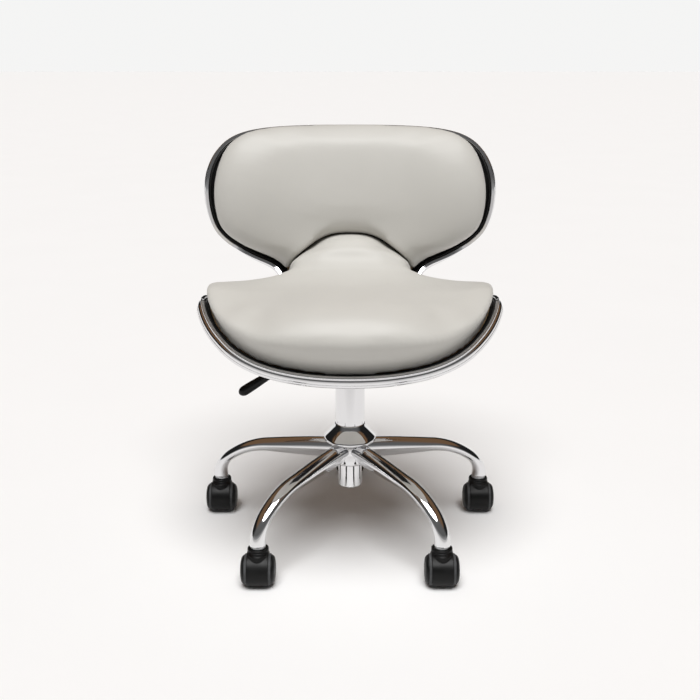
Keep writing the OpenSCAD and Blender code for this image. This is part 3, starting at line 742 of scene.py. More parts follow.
def subdivided(piece, levels=1):
    finer = piece.modifiers.new("Finer", "SUBSURF")
    finer.levels = levels
    finer.render_levels = levels
    return applied(piece, finer)


def make_cushion(name, kind, body, node):
    shell = Shell()
    z = shell.z
    if kind == "seat":
        centre_s, fullness = 0.58 * z.seat_len, 18
    else:
        centre_s, fullness = z.seat_len + 0.54 * z.back_len, 10
    piece = cushion_mesh(name, shell, kind, centre_s, fullness)
    remeshed(piece, VOXEL)
    stuffed(piece, shell, PRESSURE, MOST_SWELLING, HELD_HEIGHT)
    subdivided(piece)
    piece.data.materials.clear()
    piece.data.materials.append(Stock.get("vinyl"))
    smooth(piece, 180)
    belongs(piece, body, "vinyl", node)
    return piece


# ---- Strips round the edge, and the rear cover ----


def edge_strip(name, shell, section, material, per_span=18, crease=35.0):
    """A strip of constant section, as [out, up] points, round the whole edge."""
    base, out, up = shell.edge_frames(per_span)
    section = np.asarray(section, float)
    rings = base[:, None] + section[None, :, :1] * out[:, None] + section[None, :, 1:] * up[:, None]
    points, faces = lofted(rings, close_rings=True)
    return new_mesh(name, points, faces, material, crease)


def trim_section(lip):
    """Bright channel: a bead at the top, a hollow, a broad bead, a fine groove and a turned-in lower lip."""
    top = lip + 0.0025
    face = [(-0.0006, top), (0.0001, top - 0.0008), (0.0001, top - 0.0018)]
    hollow_top, hollow_low = top - 0.0021, top - 0.0069
    for t in np.linspace(0, 1, 8):
        face.append((-0.0002 - 0.0016 * math.sin(math.pi * t), hollow_top + (hollow_low - hollow_top) * t))
    bead_low = hollow_low - 0.0068
    for t in np.linspace(0.05, 0.95, 8):
        face.append((-0.0001 + 0.0010 * math.sin(math.pi * t), hollow_low + (bead_low - hollow_low) * t))
    face += [(-0.0010, bead_low - 0.0003), (-0.0002, bead_low - 0.0008)]
    low = top - 0.021
    for t in np.linspace(0.15, 1.0, 6):
        turn = t * math.pi / 2
        lip_z = bead_low - 0.0008 + (low - bead_low + 0.0008) * math.sin(turn)
        face.append((-0.0038 + 0.0038 * math.cos(turn), lip_z))
    inner = [
        (-lip - 0.003, low), (-lip - 0.003, low + 0.0016), (-0.002, low + 0.0016), (-0.002, top - 0.0016),
        (-lip, top - 0.0016), (-lip - 0.0003, top - 0.0008), (-lip + 0.0004, top),
    ]
    return (face + inner)[::-1]


def welt_section(lip, diameter):
    """Piping of two cords side by side, a large one against the trim and a small one against the cushion."""
    large, small = 0.36 * diameter, 0.24 * diameter
    middle = -lip - 0.0003 - large
    points = []
    for t in np.linspace(-30, 215, 13):
        a = math.radians(t)
        points.append((middle + large * math.cos(a), 0.0012 + large + large * math.sin(a)))
    inner = middle - large - 0.6 * small
    for t in np.linspace(100, 200, 7):
        a = math.radians(t)
        points.append((inner + small * math.cos(a), 0.0012 + small + small * math.sin(a)))
    reach = -lip - diameter - 0.0062
    points += [(inner - small, 0.0018), (reach, 0.0016), (reach, 0.0006)]
    return points


def cover_mesh(shell, name, inset, h_out, puff, columns=44, per_span=10):
    """The rear cover: a thin upholstered skin under the shell with soft rolled edges."""
    rows = shell.inset_half(inset, per_span)
    share_x = np.linspace(-1, 1, columns + 1)
    x = rows[:, :1] * share_x[None]
    s = np.repeat(rows[:, 1:], columns + 1, axis=1)
    edge = np.abs(share_x)[None] * np.ones_like(x)
    ends = np.minimum(rows[:, 1] - rows[0, 1], rows[-1, 1] - rows[:, 1]) / 0.02
    soft = np.sqrt(np.clip(1 - edge**10, 0, 1)) * np.sqrt(clamp01(ends))[:, None]
    outer = shell.at(x, s, h_out - puff * soft)
    inner = shell.at(x, s, np.full_like(x, h_out + 0.0008))
    n, m = x.shape
    points = np.vstack([outer.reshape(-1, 3), inner.reshape(-1, 3)])
    off = n * m
    faces = []
    for i in range(n - 1):
        for j in range(m - 1):
            a, b, c, d = i * m + j, i * m + j + 1, (i + 1) * m + j + 1, (i + 1) * m + j
            faces += [(a, d, c, b), (off + a, off + b, off + c, off + d)]
    rim = [(0, j) for j in range(m - 1)] + [(i, m - 1) for i in range(n - 1)]
    rim += [(n - 1, j) for j in range(m - 1, 0, -1)] + [(i, 0) for i in range(n - 1, 0, -1)]
    rim = [i * m + j for i, j in rim]
    for k, a in enumerate(rim):
        b = rim[(k + 1) % len(rim)]
        faces.append((a, b, off + b, off + a))
    return new_mesh(name, points, faces, Stock.get("vinyl"), 60)


# ---- Geometry Nodes for what repeats ----


def new_tree(name, sizes):
    """A geometry tree with a geometry input and output, and float or integer inputs with defaults."""
    tree = bpy.data.node_groups.new(name, "GeometryNodeTree")
    tree.interface.new_socket("Geometry", in_out="INPUT", socket_type="NodeSocketGeometry")
    for label, value in sizes.items():
        kind = "NodeSocketInt" if isinstance(value, int) else "NodeSocketFloat"
        socket = tree.interface.new_socket(label, in_out="INPUT", socket_type=kind)
        socket.default_value = value
    tree.interface.new_socket("Geometry", in_out="OUTPUT", socket_type="NodeSocketGeometry")
    entry = tree.nodes.new("NodeGroupInput")
    return tree, entry.outputs


def finish_tree(tree, geometry, material):
    """Ends a tree in Realize Instances and Set Material."""
    real = add(tree, "GeometryNodeRealizeInstances", {"Geometry": geometry})
    given = {"Geometry": real.outputs["Geometry"], "Material": material}
    painted = add(tree, "GeometryNodeSetMaterial", given)
    leave = tree.nodes.new("NodeGroupOutput")
    tree.links.new(painted.outputs["Geometry"], leave.inputs["Geometry"])


def grown(piece, tree, sizes):
    """Runs a tree on a piece with its inputs set, and keeps the result as a plain mesh."""
    modifier = piece.modifiers.new(tree.name, "NODES")
    modifier.node_group = tree
    sockets = {item.name: item.identifier for item in tree.interface.items_tree if item.in_out == "INPUT"}
    for label, value in sizes.items():
        modifier[sockets[label]] = value
    return applied(piece, modifier)


def stitch_tree(material):
    """Stitches along a line: a small capsule on each point of the evenly divided line."""
    tree, sizes = new_tree("Stitches", {"Pitch": 0.006, "Length": 0.0042, "Thickness": 0.0009})
    line = add(tree, "GeometryNodeMeshToCurve", {"Mesh": sizes["Geometry"]})
    even = add(
        tree, "GeometryNodeResampleCurve", {"Curve": line.outputs["Curve"], "Length": sizes["Pitch"]},
        mode="LENGTH",
    )
    thread = add(tree, "GeometryNodeMeshUVSphere", {"Segments": 10, "Rings": 7, "Radius": 0.5})
    size = add(
        tree, "ShaderNodeCombineXYZ", {"X": sizes["Thickness"], "Y": sizes["Thickness"], "Z": sizes["Length"]}
    )
    along = add(
        tree, "FunctionNodeAlignRotationToVector", {"Vector": add(tree, "GeometryNodeInputTangent").outputs[0]},
        axis="Z",
    )
    placed = add(
        tree, "GeometryNodeInstanceOnPoints",
        {
            "Points": even.outputs["Curve"], "Instance": thread.outputs["Mesh"],
            "Rotation": along.outputs["Rotation"], "Scale": size.outputs["Vector"],
        },
    )
    shade = add(tree, "GeometryNodeSetShadeSmooth", {"Geometry": placed.outputs["Instances"]})
    finish_tree(tree, shade.outputs["Geometry"], material)
    return tree


def ring_row_tree(material):
    """A row of round ribs along the piece's own Z direction, growing by a taper from rib to rib."""
    tree, sizes = new_tree(
        "Grip_ribs", {"Count": 7, "Pitch": 0.005, "Radius": 0.008, "Taper": 0.0, "Rib": 0.0008}
    )
    step = add(tree, "ShaderNodeCombineXYZ", {"Z": sizes["Pitch"]})
    row = add(tree, "GeometryNodeMeshLine", {"Count": sizes["Count"], "Offset": step.outputs["Vector"]})
    ring = add(tree, "GeometryNodeCurvePrimitiveCircle", {"Resolution": 40, "Radius": 1.0})
    rib = add(tree, "GeometryNodeCurvePrimitiveCircle", {"Resolution": 8, "Radius": 0.1})
    body = add(
        tree, "GeometryNodeCurveToMesh",
        {"Curve": ring.outputs["Curve"], "Profile Curve": rib.outputs["Curve"]},
    )
    index = add(tree, "GeometryNodeInputIndex").outputs[0]
    grow = add(
        tree, "ShaderNodeMath", {0: index, 1: sizes["Taper"], 2: sizes["Radius"]}, operation="MULTIPLY_ADD"
    )
    thin = add(tree, "ShaderNodeMath", {0: sizes["Rib"], 1: 10.0}, operation="MULTIPLY")
    size = add(
        tree, "ShaderNodeCombineXYZ",
        {"X": grow.outputs["Value"], "Y": grow.outputs["Value"], "Z": thin.outputs["Value"]},
    )
    placed = add(
        tree, "GeometryNodeInstanceOnPoints",
        {"Points": row.outputs["Mesh"], "Instance": body.outputs["Mesh"], "Scale": size.outputs["Vector"]},
    )
    shade = add(tree, "GeometryNodeSetShadeSmooth", {"Geometry": placed.outputs["Instances"]})
    finish_tree(tree, shade.outputs["Geometry"], material)
    return tree


def leg_ring_tree(material):
    """The first leg repeated in equal turns round the swivel axis."""
    tree, sizes = new_tree("Leg_ring", {"Count": LEGS, "First": 0.0, "Step": 1.2566371})
    spots = add(tree, "GeometryNodePoints", {"Count": sizes["Count"]})
    index = add(tree, "GeometryNodeInputIndex").outputs[0]
    turn = add(
        tree, "ShaderNodeMath", {0: index, 1: sizes["Step"], 2: sizes["First"]}, operation="MULTIPLY_ADD"
    )
    rotation = add(tree, "ShaderNodeCombineXYZ", {"Z": turn.outputs["Value"]})
    placed = add(
        tree, "GeometryNodeInstanceOnPoints",
        {
            "Points": spots.outputs[0], "Instance": sizes["Geometry"], "Rotation": rotation.outputs["Vector"],
        },
    )
    finish_tree(tree, placed.outputs["Instances"], material)
    return tree


# ---- Base ----


def leg_angle(number):
    return math.radians(-54 + 72 * number)


class LegPath:
    """Middle line of a leg, in the plane of radius and height, from its foot up to the hub."""

    def __init__(self):
        z = settings("stool_base")
        seat_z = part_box("caster_stem_1")[1].z - 0.022
        turn = math.radians(50)
        foot = np.array([z.caster_circle_r - z.leg_foot_r, seat_z])
        top = foot + z.leg_foot_r * np.array([math.cos(turn), math.sin(turn)])
        bend = top - z.leg_bend_r * np.array([math.cos(turn), math.sin(turn)])
        last = math.pi / 2 - z.leg_slope
        self.end = bend + z.leg_bend_r * np.array([math.cos(last), math.sin(last)])
        self.arcs = [(foot, z.leg_foot_r, 0.0, turn), (bend, z.leg_bend_r, turn, last)]
        self.slope = z.leg_slope
        self.root_r = 0.020
        self.reach = z.leg_foot_r * turn + z.leg_bend_r * (last - turn)
        self.total = self.reach + (self.end[0] - self.root_r) / math.cos(self.slope)
        self.root_z = self.end[1] + self.end[0] * math.tan(self.slope)

    def at(self, run):
        """Point and direction at a run from the foot."""
        for centre, radius, first, last in self.arcs:
            size = radius * (last - first)
            if run <= size:
                a = first + run / radius
                outward = np.array([math.cos(a), math.sin(a)])
                return centre + radius * outward, np.array([-math.sin(a), math.cos(a)])
            run -= size
        heading = np.array([-math.cos(self.slope), math.sin(self.slope)])
        return self.end + run * heading, heading


def leg_mesh(name, material):
    """A pressed leg: round over the top, with flanks that run down to a narrow keel near the hub."""
    path = LegPath()
    runs = np.concatenate([np.linspace(0, 0.05, 16)[:-1], np.linspace(0.05, path.total, 62)])
    at = [0, 0.015, 0.035, 0.060, 0.095, 0.130, 0.165, 0.210, 0.262]
    over = eased(runs, at, [0.0145, 0.0135, 0.0105, 0.0092, 0.0098, 0.0118, 0.0142, 0.0165, 0.0172])
    under = eased(runs, at, [0.0118, 0.0092, 0.0082, 0.0092, 0.0108, 0.0128, 0.0152, 0.0178, 0.0190])
    width = eased(runs, at, [0.0128, 0.0128, 0.0132, 0.0138, 0.0144, 0.0148, 0.0148, 0.0148, 0.0150])
    keel = eased(runs, at, [0.0, 0.0, 0.0, 0.02, 0.12, 0.55, 0.92, 1.0, 1.0])
    count, keel_half, flank = 28, 0.0042, 0.8
    rings = []
    for run, a, b, w, v in zip(runs, over, under, width, keel):
        middle, heading = path.at(run)
        up = np.array([heading[1], -heading[0]])
        ring = []
        for k in range(count):
            t = math.pi * k / count
            ring.append((w * math.cos(t), a * math.sin(t)))
        for k in range(count + 1):
            t = math.pi * k / count
            round_x, round_y = -w * math.cos(t), -b * math.sin(t)
            side = -1.0 if t < math.pi / 2 else 1.0
            fall = 1 - abs(t - math.pi / 2) / (math.pi / 2)
            if fall < flank:
                drop = min(1.0, fall / flank)
                keel_x = side * (w - (w - keel_half) * drop)
                keel_y = -b * (0.02 + 0.91 * drop)
            else:
                keel_x = side * keel_half * (1 - fall) / 0.2
                keel_y = -b * (0.93 + 0.07 * math.sqrt(max(0, 1 - ((1 - fall) / 0.2) ** 2)))
            ring.append((round_x + (keel_x - round_x) * v, round_y + (keel_y - round_y) * v))
        ring = ring[:-1]
        rings.append([(middle[0] + up[0] * y, x, middle[1] + up[1] * y) for x, y in ring])
    rings = np.array(rings)
    foot = rings[0].mean(axis=0)
    face = foot + (rings[0] - foot) * 0.86
    edge = foot + (rings[0] - foot) * 0.965 + np.array([0, 0, 0.0003])
    rings = np.concatenate([[face], [edge], rings])
    rings[2:3] += np.array([0, 0, 0.0012])
    points, faces = lofted(rings[:, ::-1])
    return new_mesh(name, points, faces, material, 30)


def hub_mesh(name, material):
    """Welded hub: a waisted barrel under a flared collar that swells over each leg."""
    low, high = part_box("base_hub")
    tube_r = 0.025
    rim = high.z - 0.030
    profile = [
        (0.0215, low.z + 0.0005), (0.0268, low.z), (0.0284, low.z + 0.0008), (0.0290, low.z + 0.0026),
        (0.0288, low.z + 0.010), (0.0276, low.z + 0.018), (0.0272, low.z + 0.024), (0.0282, low.z + 0.030),
        (0.0310, low.z + 0.0345), (0.0365, rim - 0.0036), (0.0418, rim - 0.0018), (0.0436, rim - 0.0002),
        (0.0444, rim + 0.0020), (0.0442, rim + 0.0040), (0.0428, rim + 0.0058), (0.0400, rim + 0.0085),
        (0.0345, rim + 0.0150), (0.0302, rim + 0.0208), (0.0278, rim + 0.0252), (0.0264, rim + 0.0285),
        (0.0257, rim + 0.0298), (tube_r + 0.0001, rim + 0.0300),
    ]
    rings = turned(profile, 180)
    turn = np.arange(180) * 2 * math.pi / 180
    lobe = np.maximum(0.0, np.cos((turn - leg_angle(1)) * LEGS)) ** 2
    for ring, (radius, height) in zip(rings, profile):
        swell = 0.0022 * math.exp(-(((height - rim - 0.001) / 0.010) ** 2))
        ring[:, :2] *= (1 + swell * lobe / max(radius, 0.01))[:, None]
    points, faces = lofted(rings, caps=False)
    return new_mesh(name, points, faces, material, 50)


# ---- Casters ----


def sector(inner, outer, first, last, half_w, steps=40):
    """A closed block between two radii and two angles, across the caster."""
    turn = np.linspace(first, last, steps)
    ring = []
    for radius, order in ((outer, turn), (inner, turn[::-1])):
        ring += [(radius * math.cos(a), radius * math.sin(a)) for a in order]
    left = [(-half_w, y, z) for y, z in ring]
    right = [(half_w, y, z) for y, z in ring]
    return lofted([left, right])


def hood_mesh(name, material):
    """Caster hood about its axle: a centre web, a band over both treads and a neck with a flared shoulder."""
    z = settings("stool_base")
    half_r = z.wheel_d / 2
    outer, inner = half_r + 0.0032, half_r + 0.0007
    first, last = math.radians(25), math.radians(217)
    neck_z = z.wheel_d / 2 + outer + 0.0065 - half_r
    band = sector(inner, outer, first, last, z.hood_w / 2)
    web = sector(0.004, outer - 0.0006, first, last, 0.0063)
    boss = turned([(0.0088, -0.0063), (0.0088, 0.0063)], 40)
    boss = boss[..., [2, 0, 1]]
    neck = turned([
        (z.neck_r * 0.99, 0.0130), (z.neck_r * 0.99, neck_z - 0.0120), (z.neck_r * 1.02, neck_z - 0.0080),
        (z.neck_r * 1.02, neck_z - 0.0015), (z.neck_r * 0.97, neck_z),
    ], 56)
    neck[..., 1] += z.trail
    shoulder = turned([(0.0172, 0.0135), (0.0172, 0.0215), (0.0168, 0.0285), (0.0150, 0.0300)], 56)
    shoulder[..., 1] = shoulder[..., 1] * 1.32 + 0.45 * z.trail
    parts = [band, web, lofted(boss), lofted(neck), lofted(shoulder)]
    points, faces = join_points(parts)
    piece = new_mesh(name, points, faces, crease=180)
    remesh = piece.modifiers.new("Moulded_whole", "REMESH")
    remesh.mode = "VOXEL"
    remesh.voxel_size = 0.00085
    relax = piece.modifiers.new("Soft_edges", "SMOOTH")
    relax.factor = 0.5
    relax.iterations = 5
    thin = piece.modifiers.new("Thinned", "DECIMATE")
    thin.ratio = 0.45
    applied(piece, remesh, relax, thin)
    piece.data.materials.append(material)
    smooth(piece, 180)
    return piece


def wheel_mesh(name, side):
    """A wheel about its axle, its outer face towards side: tread, shoulder groove, dome and hub cap."""
    z = settings("stool_base")
    r, out = z.wheel_d / 2, z.caster_w / 2
    tread_out = z.hood_w / 2 + 0.0036
    profile = [
        (0.0032, 0.0076), (0.0075, 0.0072), (r - 0.0060, 0.0072), (r - 0.0052, 0.0080), (r - 0.0030, 0.0080),
        (r - 0.0020, 0.0072), (r - 0.0008, 0.0074), (r - 0.0001, 0.0084), (r, 0.0100),
        (r, tread_out - 0.0016), (r - 0.0003, tread_out - 0.0006), (r - 0.0012, tread_out),
        (r - 0.0018, tread_out - 0.0001),
        (r - 0.0021, tread_out - 0.0004), (r - 0.0019, tread_out + 0.0004), (r - 0.0020, tread_out + 0.0012),
        (r - 0.0027, tread_out + 0.0024), (r - 0.0042, out - 0.0026), (r - 0.0066, out - 0.0013),
        (r - 0.0100, out - 0.0005), (r - 0.0136, out - 0.0001), (r - 0.0150, out), (r - 0.0154, out - 0.0006),
        (r - 0.0160, out - 0.0007), (r - 0.0164, out - 0.0001), (r - 0.0175, out + 0.0001),
        (0.0030, out + 0.0003), (0.0004, out + 0.0003),
    ]
    rings = turned(profile, 72)
    if side < 0:
        rings[..., 2] *= -1
        rings = rings[:, ::-1]
    rings = rings[..., [2, 0, 1]]
    points, faces = lofted(rings)
    piece = new_mesh(name, points, faces, Stock.get("nylon"), 32)
    piece.data.materials.append(Stock.get("tread"))
    for face in piece.data.polygons:
        centre = face.center
        radius = math.hypot(centre.y, centre.z)
        if radius > r - 0.0019 and abs(centre.x) < tread_out + 0.0001 and len(face.vertices) == 4:
            face.material_index = 1
    return piece


def moved_copy(source, name, offset):
    """A copy of a piece with its mesh moved, and its object left at the origin."""
    piece = source.copy()
    piece.data = source.data.copy()
    piece.name = name
    piece.data.name = name
    piece.data.transform(Matrix.Translation(offset))
    bpy.context.scene.collection.objects.link(piece)
    return piece


# ---- Lever ----


def grip_frame():
    """Origin at the grip's inner end, and the direction towards its outer end."""
    z = settings("stool_base")
    low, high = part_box("lever_grip")
    heading = Vector((-math.cos(z.lever_slope), 0, -math.sin(z.lever_slope)))
    size = high - low
    half_d = z.grip_d / 2
    reach = (size.x - 2 * half_d * math.sin(z.lever_slope) * 0.5) / math.cos(z.lever_slope)
    middle = (low + high) / 2
    return middle, heading, reach


def grip_rings(profile, flat):
    """Rings of the grip about Z, flattened across by flat."""
    rings = turned(profile, 48)
    rings[..., 0] *= flat
    return rings


class STOOL_OT_stage(bpy.types.Operator):
    """Set up the camera, the soft studio light and the pale floor"""

    bl_idname = "stool.stage"
    bl_label = "Studio"

    def execute(self, context):
        z = settings("stool_studio")
        scene = context.scene
        scene.view_settings.view_transform = "Standard"
        scene.view_settings.look = "None"
        lens = bpy.data.cameras.new("Camera")
        lens.lens = z.lens
        lens.sensor_width = 36.0
        camera = bpy.data.objects.new("Camera", lens)
        camera.location = (0.0, -z.camera_y, z.camera_z)
        camera.rotation_euler = (math.pi / 2 - z.camera_tilt, 0.0, 0.0)
        scene.collection.objects.link(camera)
        scene.camera = camera
        self.add_floor(z)
        self.add_key(z)
        self.add_world(scene)
        return {"FINISHED"}

    def add_floor(self, z):
        """One large sheet of paper whose colour darkens towards the front: painted shade, standing in for light
        that falls off away from the stool.
        """
        material, tree, shader, where = start_material("Studio_floor", Roughness=0.9, Specular_IOR_Level=0.1)
        front = add(tree, "ShaderNodeSeparateXYZ", {"Vector": where}).outputs["Y"]
        # Painted shade: the paper's colour is full at 0.52 m in front of the swivel axis and falls to 62 per
        # cent at 1.30 m, as though the light fell off there.
        painted_falloff = spread(tree, front, 0.62, 1.0, -1.30, -0.52)
        mottle = spread(tree, noise(tree, where, 3.0, 2.0), 0.992, 1.0)
        # The painted shade times a faint random mottle of the paper.
        depth = add(tree, "ShaderNodeMath", {0: painted_falloff, 1: mottle}, operation="MULTIPLY")
        paper = add(
            tree, "ShaderNodeVectorMath", {0: tuple(z.floor), "Scale": depth.outputs["Value"]},
            operation="SCALE",
        )
        tree.links.new(paper.outputs["Vector"], shader.inputs["Base Color"])
        half, low = 30.0, -0.0004
        floor = new_mesh(
            "Floor", [(-half, -half, low), (half, -half, low), (half, half, low), (-half, half, low)],
            [(0, 1, 2, 3)], material,
        )

    def add_key(self, z):
        """A broad soft key from the front and above."""
        light = bpy.data.lights.new("Key", "SUN")
        light.energy = z.key_power
        light.angle = math.radians(40)
        key = bpy.data.objects.new("Key", light)
        key.rotation_euler = (math.pi / 2 - z.key_angle, 0.0, 0.0)
        bpy.context.scene.collection.objects.link(key)

    def add_world(self, scene):
        """A dark studio with a bright band at the horizon and a brown board overhead."""
        world = bpy.data.worlds.new("Studio")
        world.use_nodes = True
        scene.world = world
        tree = world.node_tree
        shade = next(n for n in tree.nodes if n.type == "BACKGROUND")
        heading = add(tree, "ShaderNodeTexCoord").outputs["Generated"]
        axes = add(tree, "ShaderNodeSeparateXYZ", {"Vector": heading}).outputs
        white, black, board = (0.91, 0.91, 0.905), (0.015, 0.015, 0.015), (0.17, 0.10, 0.055)
        grey, silver, pale = (0.12, 0.12, 0.12), (0.30, 0.30, 0.30), (0.57, 0.57, 0.565)
        rear_stops = [(0.0, white), (0.045, white), (0.085, black), (0.50, black)]
        rear_stops += [(0.58, board), (0.86, board), (0.92, black)]
        front_stops = [(0.0, pale), (0.06, silver), (0.25, grey), (0.80, grey), (0.92, black)]
        rear = self.band(tree, axes["Z"], rear_stops)
        front = self.band(tree, axes["Z"], front_stops)
        side = spread(tree, axes["Y"], 1.0, 0.0, -0.55, -0.15)
        mix = add(tree, "ShaderNodeMix", {"Factor": side}, data_type="RGBA")
        tree.links.new(rear, mix.inputs["A"])
        tree.links.new(front, mix.inputs["B"])
        tree.links.new(mix.outputs["Result"], shade.inputs["Color"])

    def band(self, tree, height, stops):
        """Light that follows the height over the horizon."""
        ramp = add(tree, "ShaderNodeValToRGB", {"Fac": height})
        elements = ramp.color_ramp.elements
        while len(elements) < len(stops):
            elements.new(0.5)
        for element, (at, tone) in zip(elements, stops):
            element.position = at
            element.color = (*tone, 1.0)
        return ramp.outputs["Color"]


class STOOL_OT_frame_finish(bpy.types.Operator):
    """Give every piece of the frame its procedural finish"""

    bl_idname = "stool.frame_finish"
    bl_label = "Frame finishes"

    def execute(self, context):
        parts = frame["record"].get("subparts") or []
        slots = {p["node"]: p["material_slot"] for p in parts}
        for name, node in frame["nodes"].items():
            finish = Stock.get(SLOT_FINISH[slots[name]])
            node.data.materials.clear()
            node.data.materials.append(finish)
        return {"FINISHED"}


class STOOL_OT_seat_cushion(bpy.types.Operator):
    """Stuff the seat cushion with its raised tongue"""

    bl_idname = "stool.seat_cushion"
    bl_label = "Seat cushion"

    def execute(self, context):
        make_cushion("seat_cushion", "seat", "seat", "seat_pad")
        return {"FINISHED"}


class STOOL_OT_back_cushion(bpy.types.Operator):
    """Stuff the back cushion"""

    bl_idname = "stool.back_cushion"
    bl_label = "Back cushion"

    def execute(self, context):
        make_cushion("back_cushion", "back", "seat", "back_pad")
        return {"FINISHED"}


class STOOL_OT_rear_cover(bpy.types.Operator):
    """Stretch the rear cover and sew its cross seam"""

    bl_idname = "stool.rear_cover"
    bl_label = "Rear cover"

    def execute(self, context):
        shell = Shell()
        z = shell.z
        depth = -z.core_t - 0.0012
        cover = cover_mesh(shell, "rear_cover_vinyl", 0.0105, depth, 0.0030)
        belongs(cover, "seat", "vinyl", "rear_cover")
        for number, offset in enumerate((-0.004, 0.004)):
            s = z.seat_len - 0.020 + offset
            half = 0.5 * z.waist_w - 0.0165
            x = np.linspace(-half, half, 60)
            line = shell.at(x, np.full_like(x, s), np.full_like(x, depth - 0.0031))
            mesh = bpy.data.meshes.new("seam_line")
            mesh.from_pydata([tuple(p) for p in line], [(i, i + 1) for i in range(len(line) - 1)], [])
            row = bpy.data.objects.new(f"cover_stitches_{number + 1}", mesh)
            context.scene.collection.objects.link(row)
            stitch = {"Pitch": 0.0055, "Length": 0.0040, "Thickness": 0.0008}
            grown(row, stitch_tree(Stock.get("thread")), stitch)
            belongs(row, "seat", "vinyl")
        return {"FINISHED"}


class STOOL_OT_edge(bpy.types.Operator):
    """Wrap the shell's edge in its bright trim and lay the black welt inside it"""

    bl_idname = "stool.edge"
    bl_label = "Trim and welt"

    def execute(self, context):
        shell = Shell()
        z = shell.z
        trim = edge_strip("edge_trim_chrome", shell, trim_section(z.trim_lip), Stock.get("chrome"), crease=32)
        belongs(trim, "seat", "chrome", "edge_trim")
        piping = welt_section(z.trim_lip, z.welt_d)
        welt = edge_strip("edge_welt_piping", shell, piping, Stock.get("welt"), crease=70)
        belongs(welt, "seat", "black_welt", "edge_welt")
        return {"FINISHED"}


class STOOL_OT_base(bpy.types.Operator):
    """Press the five legs and turn the hub"""

    bl_idname = "stool.base"
    bl_label = "Legs and hub"

    def execute(self, context):
        chrome = Stock.get("chrome")
        legs = leg_mesh("base_legs", chrome)
        grown(legs, leg_ring_tree(chrome), {"Count": LEGS, "First": leg_angle(1), "Step": 2 * math.pi / LEGS})
        belongs(legs, "base", "chrome", *[f"leg_{i}" for i in range(1, LEGS + 1)])
        hub = hub_mesh("base_hub_chrome", chrome)
        belongs(hub, "base", "chrome", "base_hub")
        return {"FINISHED"}


class STOOL_OT_casters(bpy.types.Operator):
    """Mould the five hoods and ten wheels"""

    bl_idname = "stool.casters"
    bl_label = "Casters"

    def execute(self, context):
        z = settings("stool_base")
        hood = hood_mesh("hood_pattern", Stock.get("nylon"))
        wheels = {side: wheel_mesh(f"wheel_pattern_{side}", way) for side, way in SIDES.items()}
        for number in range(1, LEGS + 1):
            turn = leg_angle(number)
            stem = Vector((math.cos(turn), math.sin(turn), 0)) * z.caster_circle_r
            axle = stem + Vector((0, -z.trail, z.wheel_d / 2))
            cover = moved_copy(hood, f"caster_{number}_hood", axle)
            belongs(cover, f"caster_{number}", "black_nylon", f"caster_hood_{number}")
            for side, pattern in wheels.items():
                wheel = moved_copy(pattern, f"caster_{number}_wheel_{side}", axle)
                belongs(wheel, f"wheel_{number}_{side}", "black_nylon", f"wheel_{number}_{side}")
        for pattern in (hood, *wheels.values()):
            bpy.data.objects.remove(pattern)
        return {"FINISHED"}


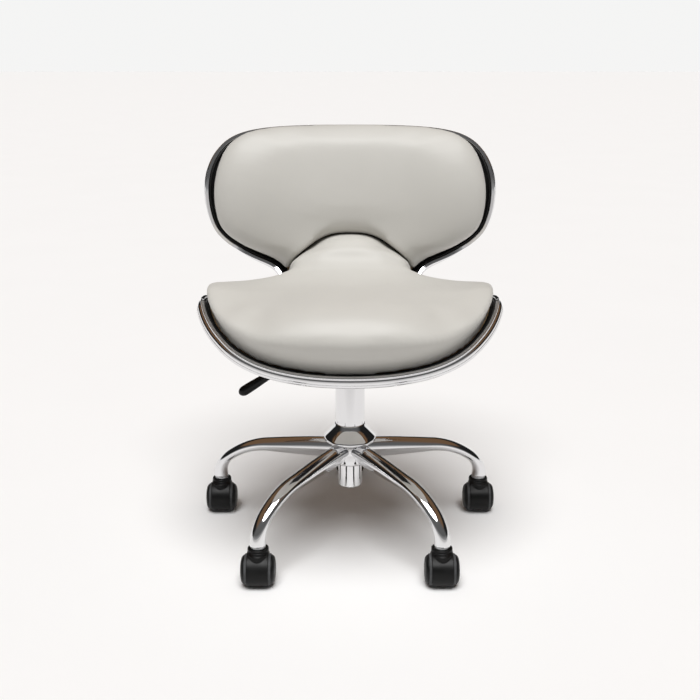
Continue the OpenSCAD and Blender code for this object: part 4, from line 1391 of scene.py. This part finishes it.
class STOOL_OT_lever(bpy.types.Operator):
    """Mould the lever's ribbed grip"""

    bl_idname = "stool.lever"
    bl_label = "Lever grip"

    def execute(self, context):
        z = settings("stool_base")
        middle, heading, reach = grip_frame()
        r = z.grip_d / 2
        half = reach / 2
        profile = [(r - 0.0034, -half), (r - 0.0022, -half + 0.0006), (r - 0.0020, -half + 0.0035)]
        profile += [(r - 0.0030, -half + 0.0045), (r - 0.0026, -half + 0.010)]
        for t in np.linspace(0, 1, 9):
            belly = 0.0024 * math.sin(t * math.pi / 2)
            profile.append((r - 0.0022 + belly, -half + 0.014 + t * (reach - 0.026)))
        for t in np.linspace(0.12, 1, 8):
            turn = t * math.pi / 2
            profile.append(((r + 0.0002) * math.cos(turn) + 0.0001, half - 0.012 + 0.012 * math.sin(turn)))
        rings = grip_rings(profile, 0.90)
        points, faces = lofted(rings)
        grip = new_mesh("lever_grip_moulded", points, faces, Stock.get("grip"), 40)
        turn = heading.to_track_quat("Z", "Y").to_matrix().to_4x4()
        place = Matrix.Translation(middle) @ turn
        grip.data.transform(place)
        belongs(grip, "lever", "grip_plastic", "lever_grip")
        seed = bpy.data.meshes.new("rib_seed")
        seed.from_pydata([(0, 0, 0)], [], [])
        ribs = bpy.data.objects.new("lever_grip_ribs", seed)
        context.scene.collection.objects.link(ribs)
        sizes = {"Count": z.grip_ribs, "Pitch": 0.0042, "Radius": r - 0.0016, "Taper": 0.0, "Rib": 0.0007}
        grown(ribs, ring_row_tree(Stock.get("grip")), sizes)
        first_rib = Matrix.Translation((0, 0, -half + 0.016))
        ribs.data.transform(place @ first_rib @ Matrix.Diagonal((0.90, 1, 1, 1)))
        belongs(ribs, "lever", "grip_plastic")
        return {"FINISHED"}


class STOOL_PT_panel(bpy.types.Panel):
    """Builds the stool step by step"""

    bl_idname = "STOOL_PT_panel"
    bl_label = "Rolling Stylist Stool"
    bl_space_type = "VIEW_3D"
    bl_region_type = "UI"
    bl_category = "Stool"

    def draw(self, context):
        for group, _ in GROUPS.items():
            box = self.layout.box()
            for name in getattr(context.scene, group).__annotations__:
                box.prop(getattr(context.scene, group), name)
        for step in STEPS:
            self.layout.operator(step.bl_idname)


GROUPS = {
    "stool_shell": ShellSizes,
    "stool_base": BaseSizes,
    "stool_finishes": Finishes,
    "stool_studio": StudioSettings,
}
STEPS = (
    STOOL_OT_stage,
    STOOL_OT_frame_finish,
    STOOL_OT_seat_cushion,
    STOOL_OT_back_cushion,
    STOOL_OT_rear_cover,
    STOOL_OT_edge,
    STOOL_OT_base,
    STOOL_OT_casters,
    STOOL_OT_lever,
)


def register():
    for group, kind in GROUPS.items():
        bpy.utils.register_class(kind)
        setattr(bpy.types.Scene, group, PointerProperty(type=kind))
    for kind in (*STEPS, STOOL_PT_panel):
        bpy.utils.register_class(kind)


def unregister():
    for kind in reversed((*STEPS, STOOL_PT_panel)):
        bpy.utils.unregister_class(kind)
    for group, kind in GROUPS.items():
        delattr(bpy.types.Scene, group)
        bpy.utils.unregister_class(kind)


def main():
    register()
    for step in STEPS:
        family, name = step.bl_idname.split(".")
        getattr(getattr(bpy.ops, family), name)()


if __name__ == "__main__":
    main()
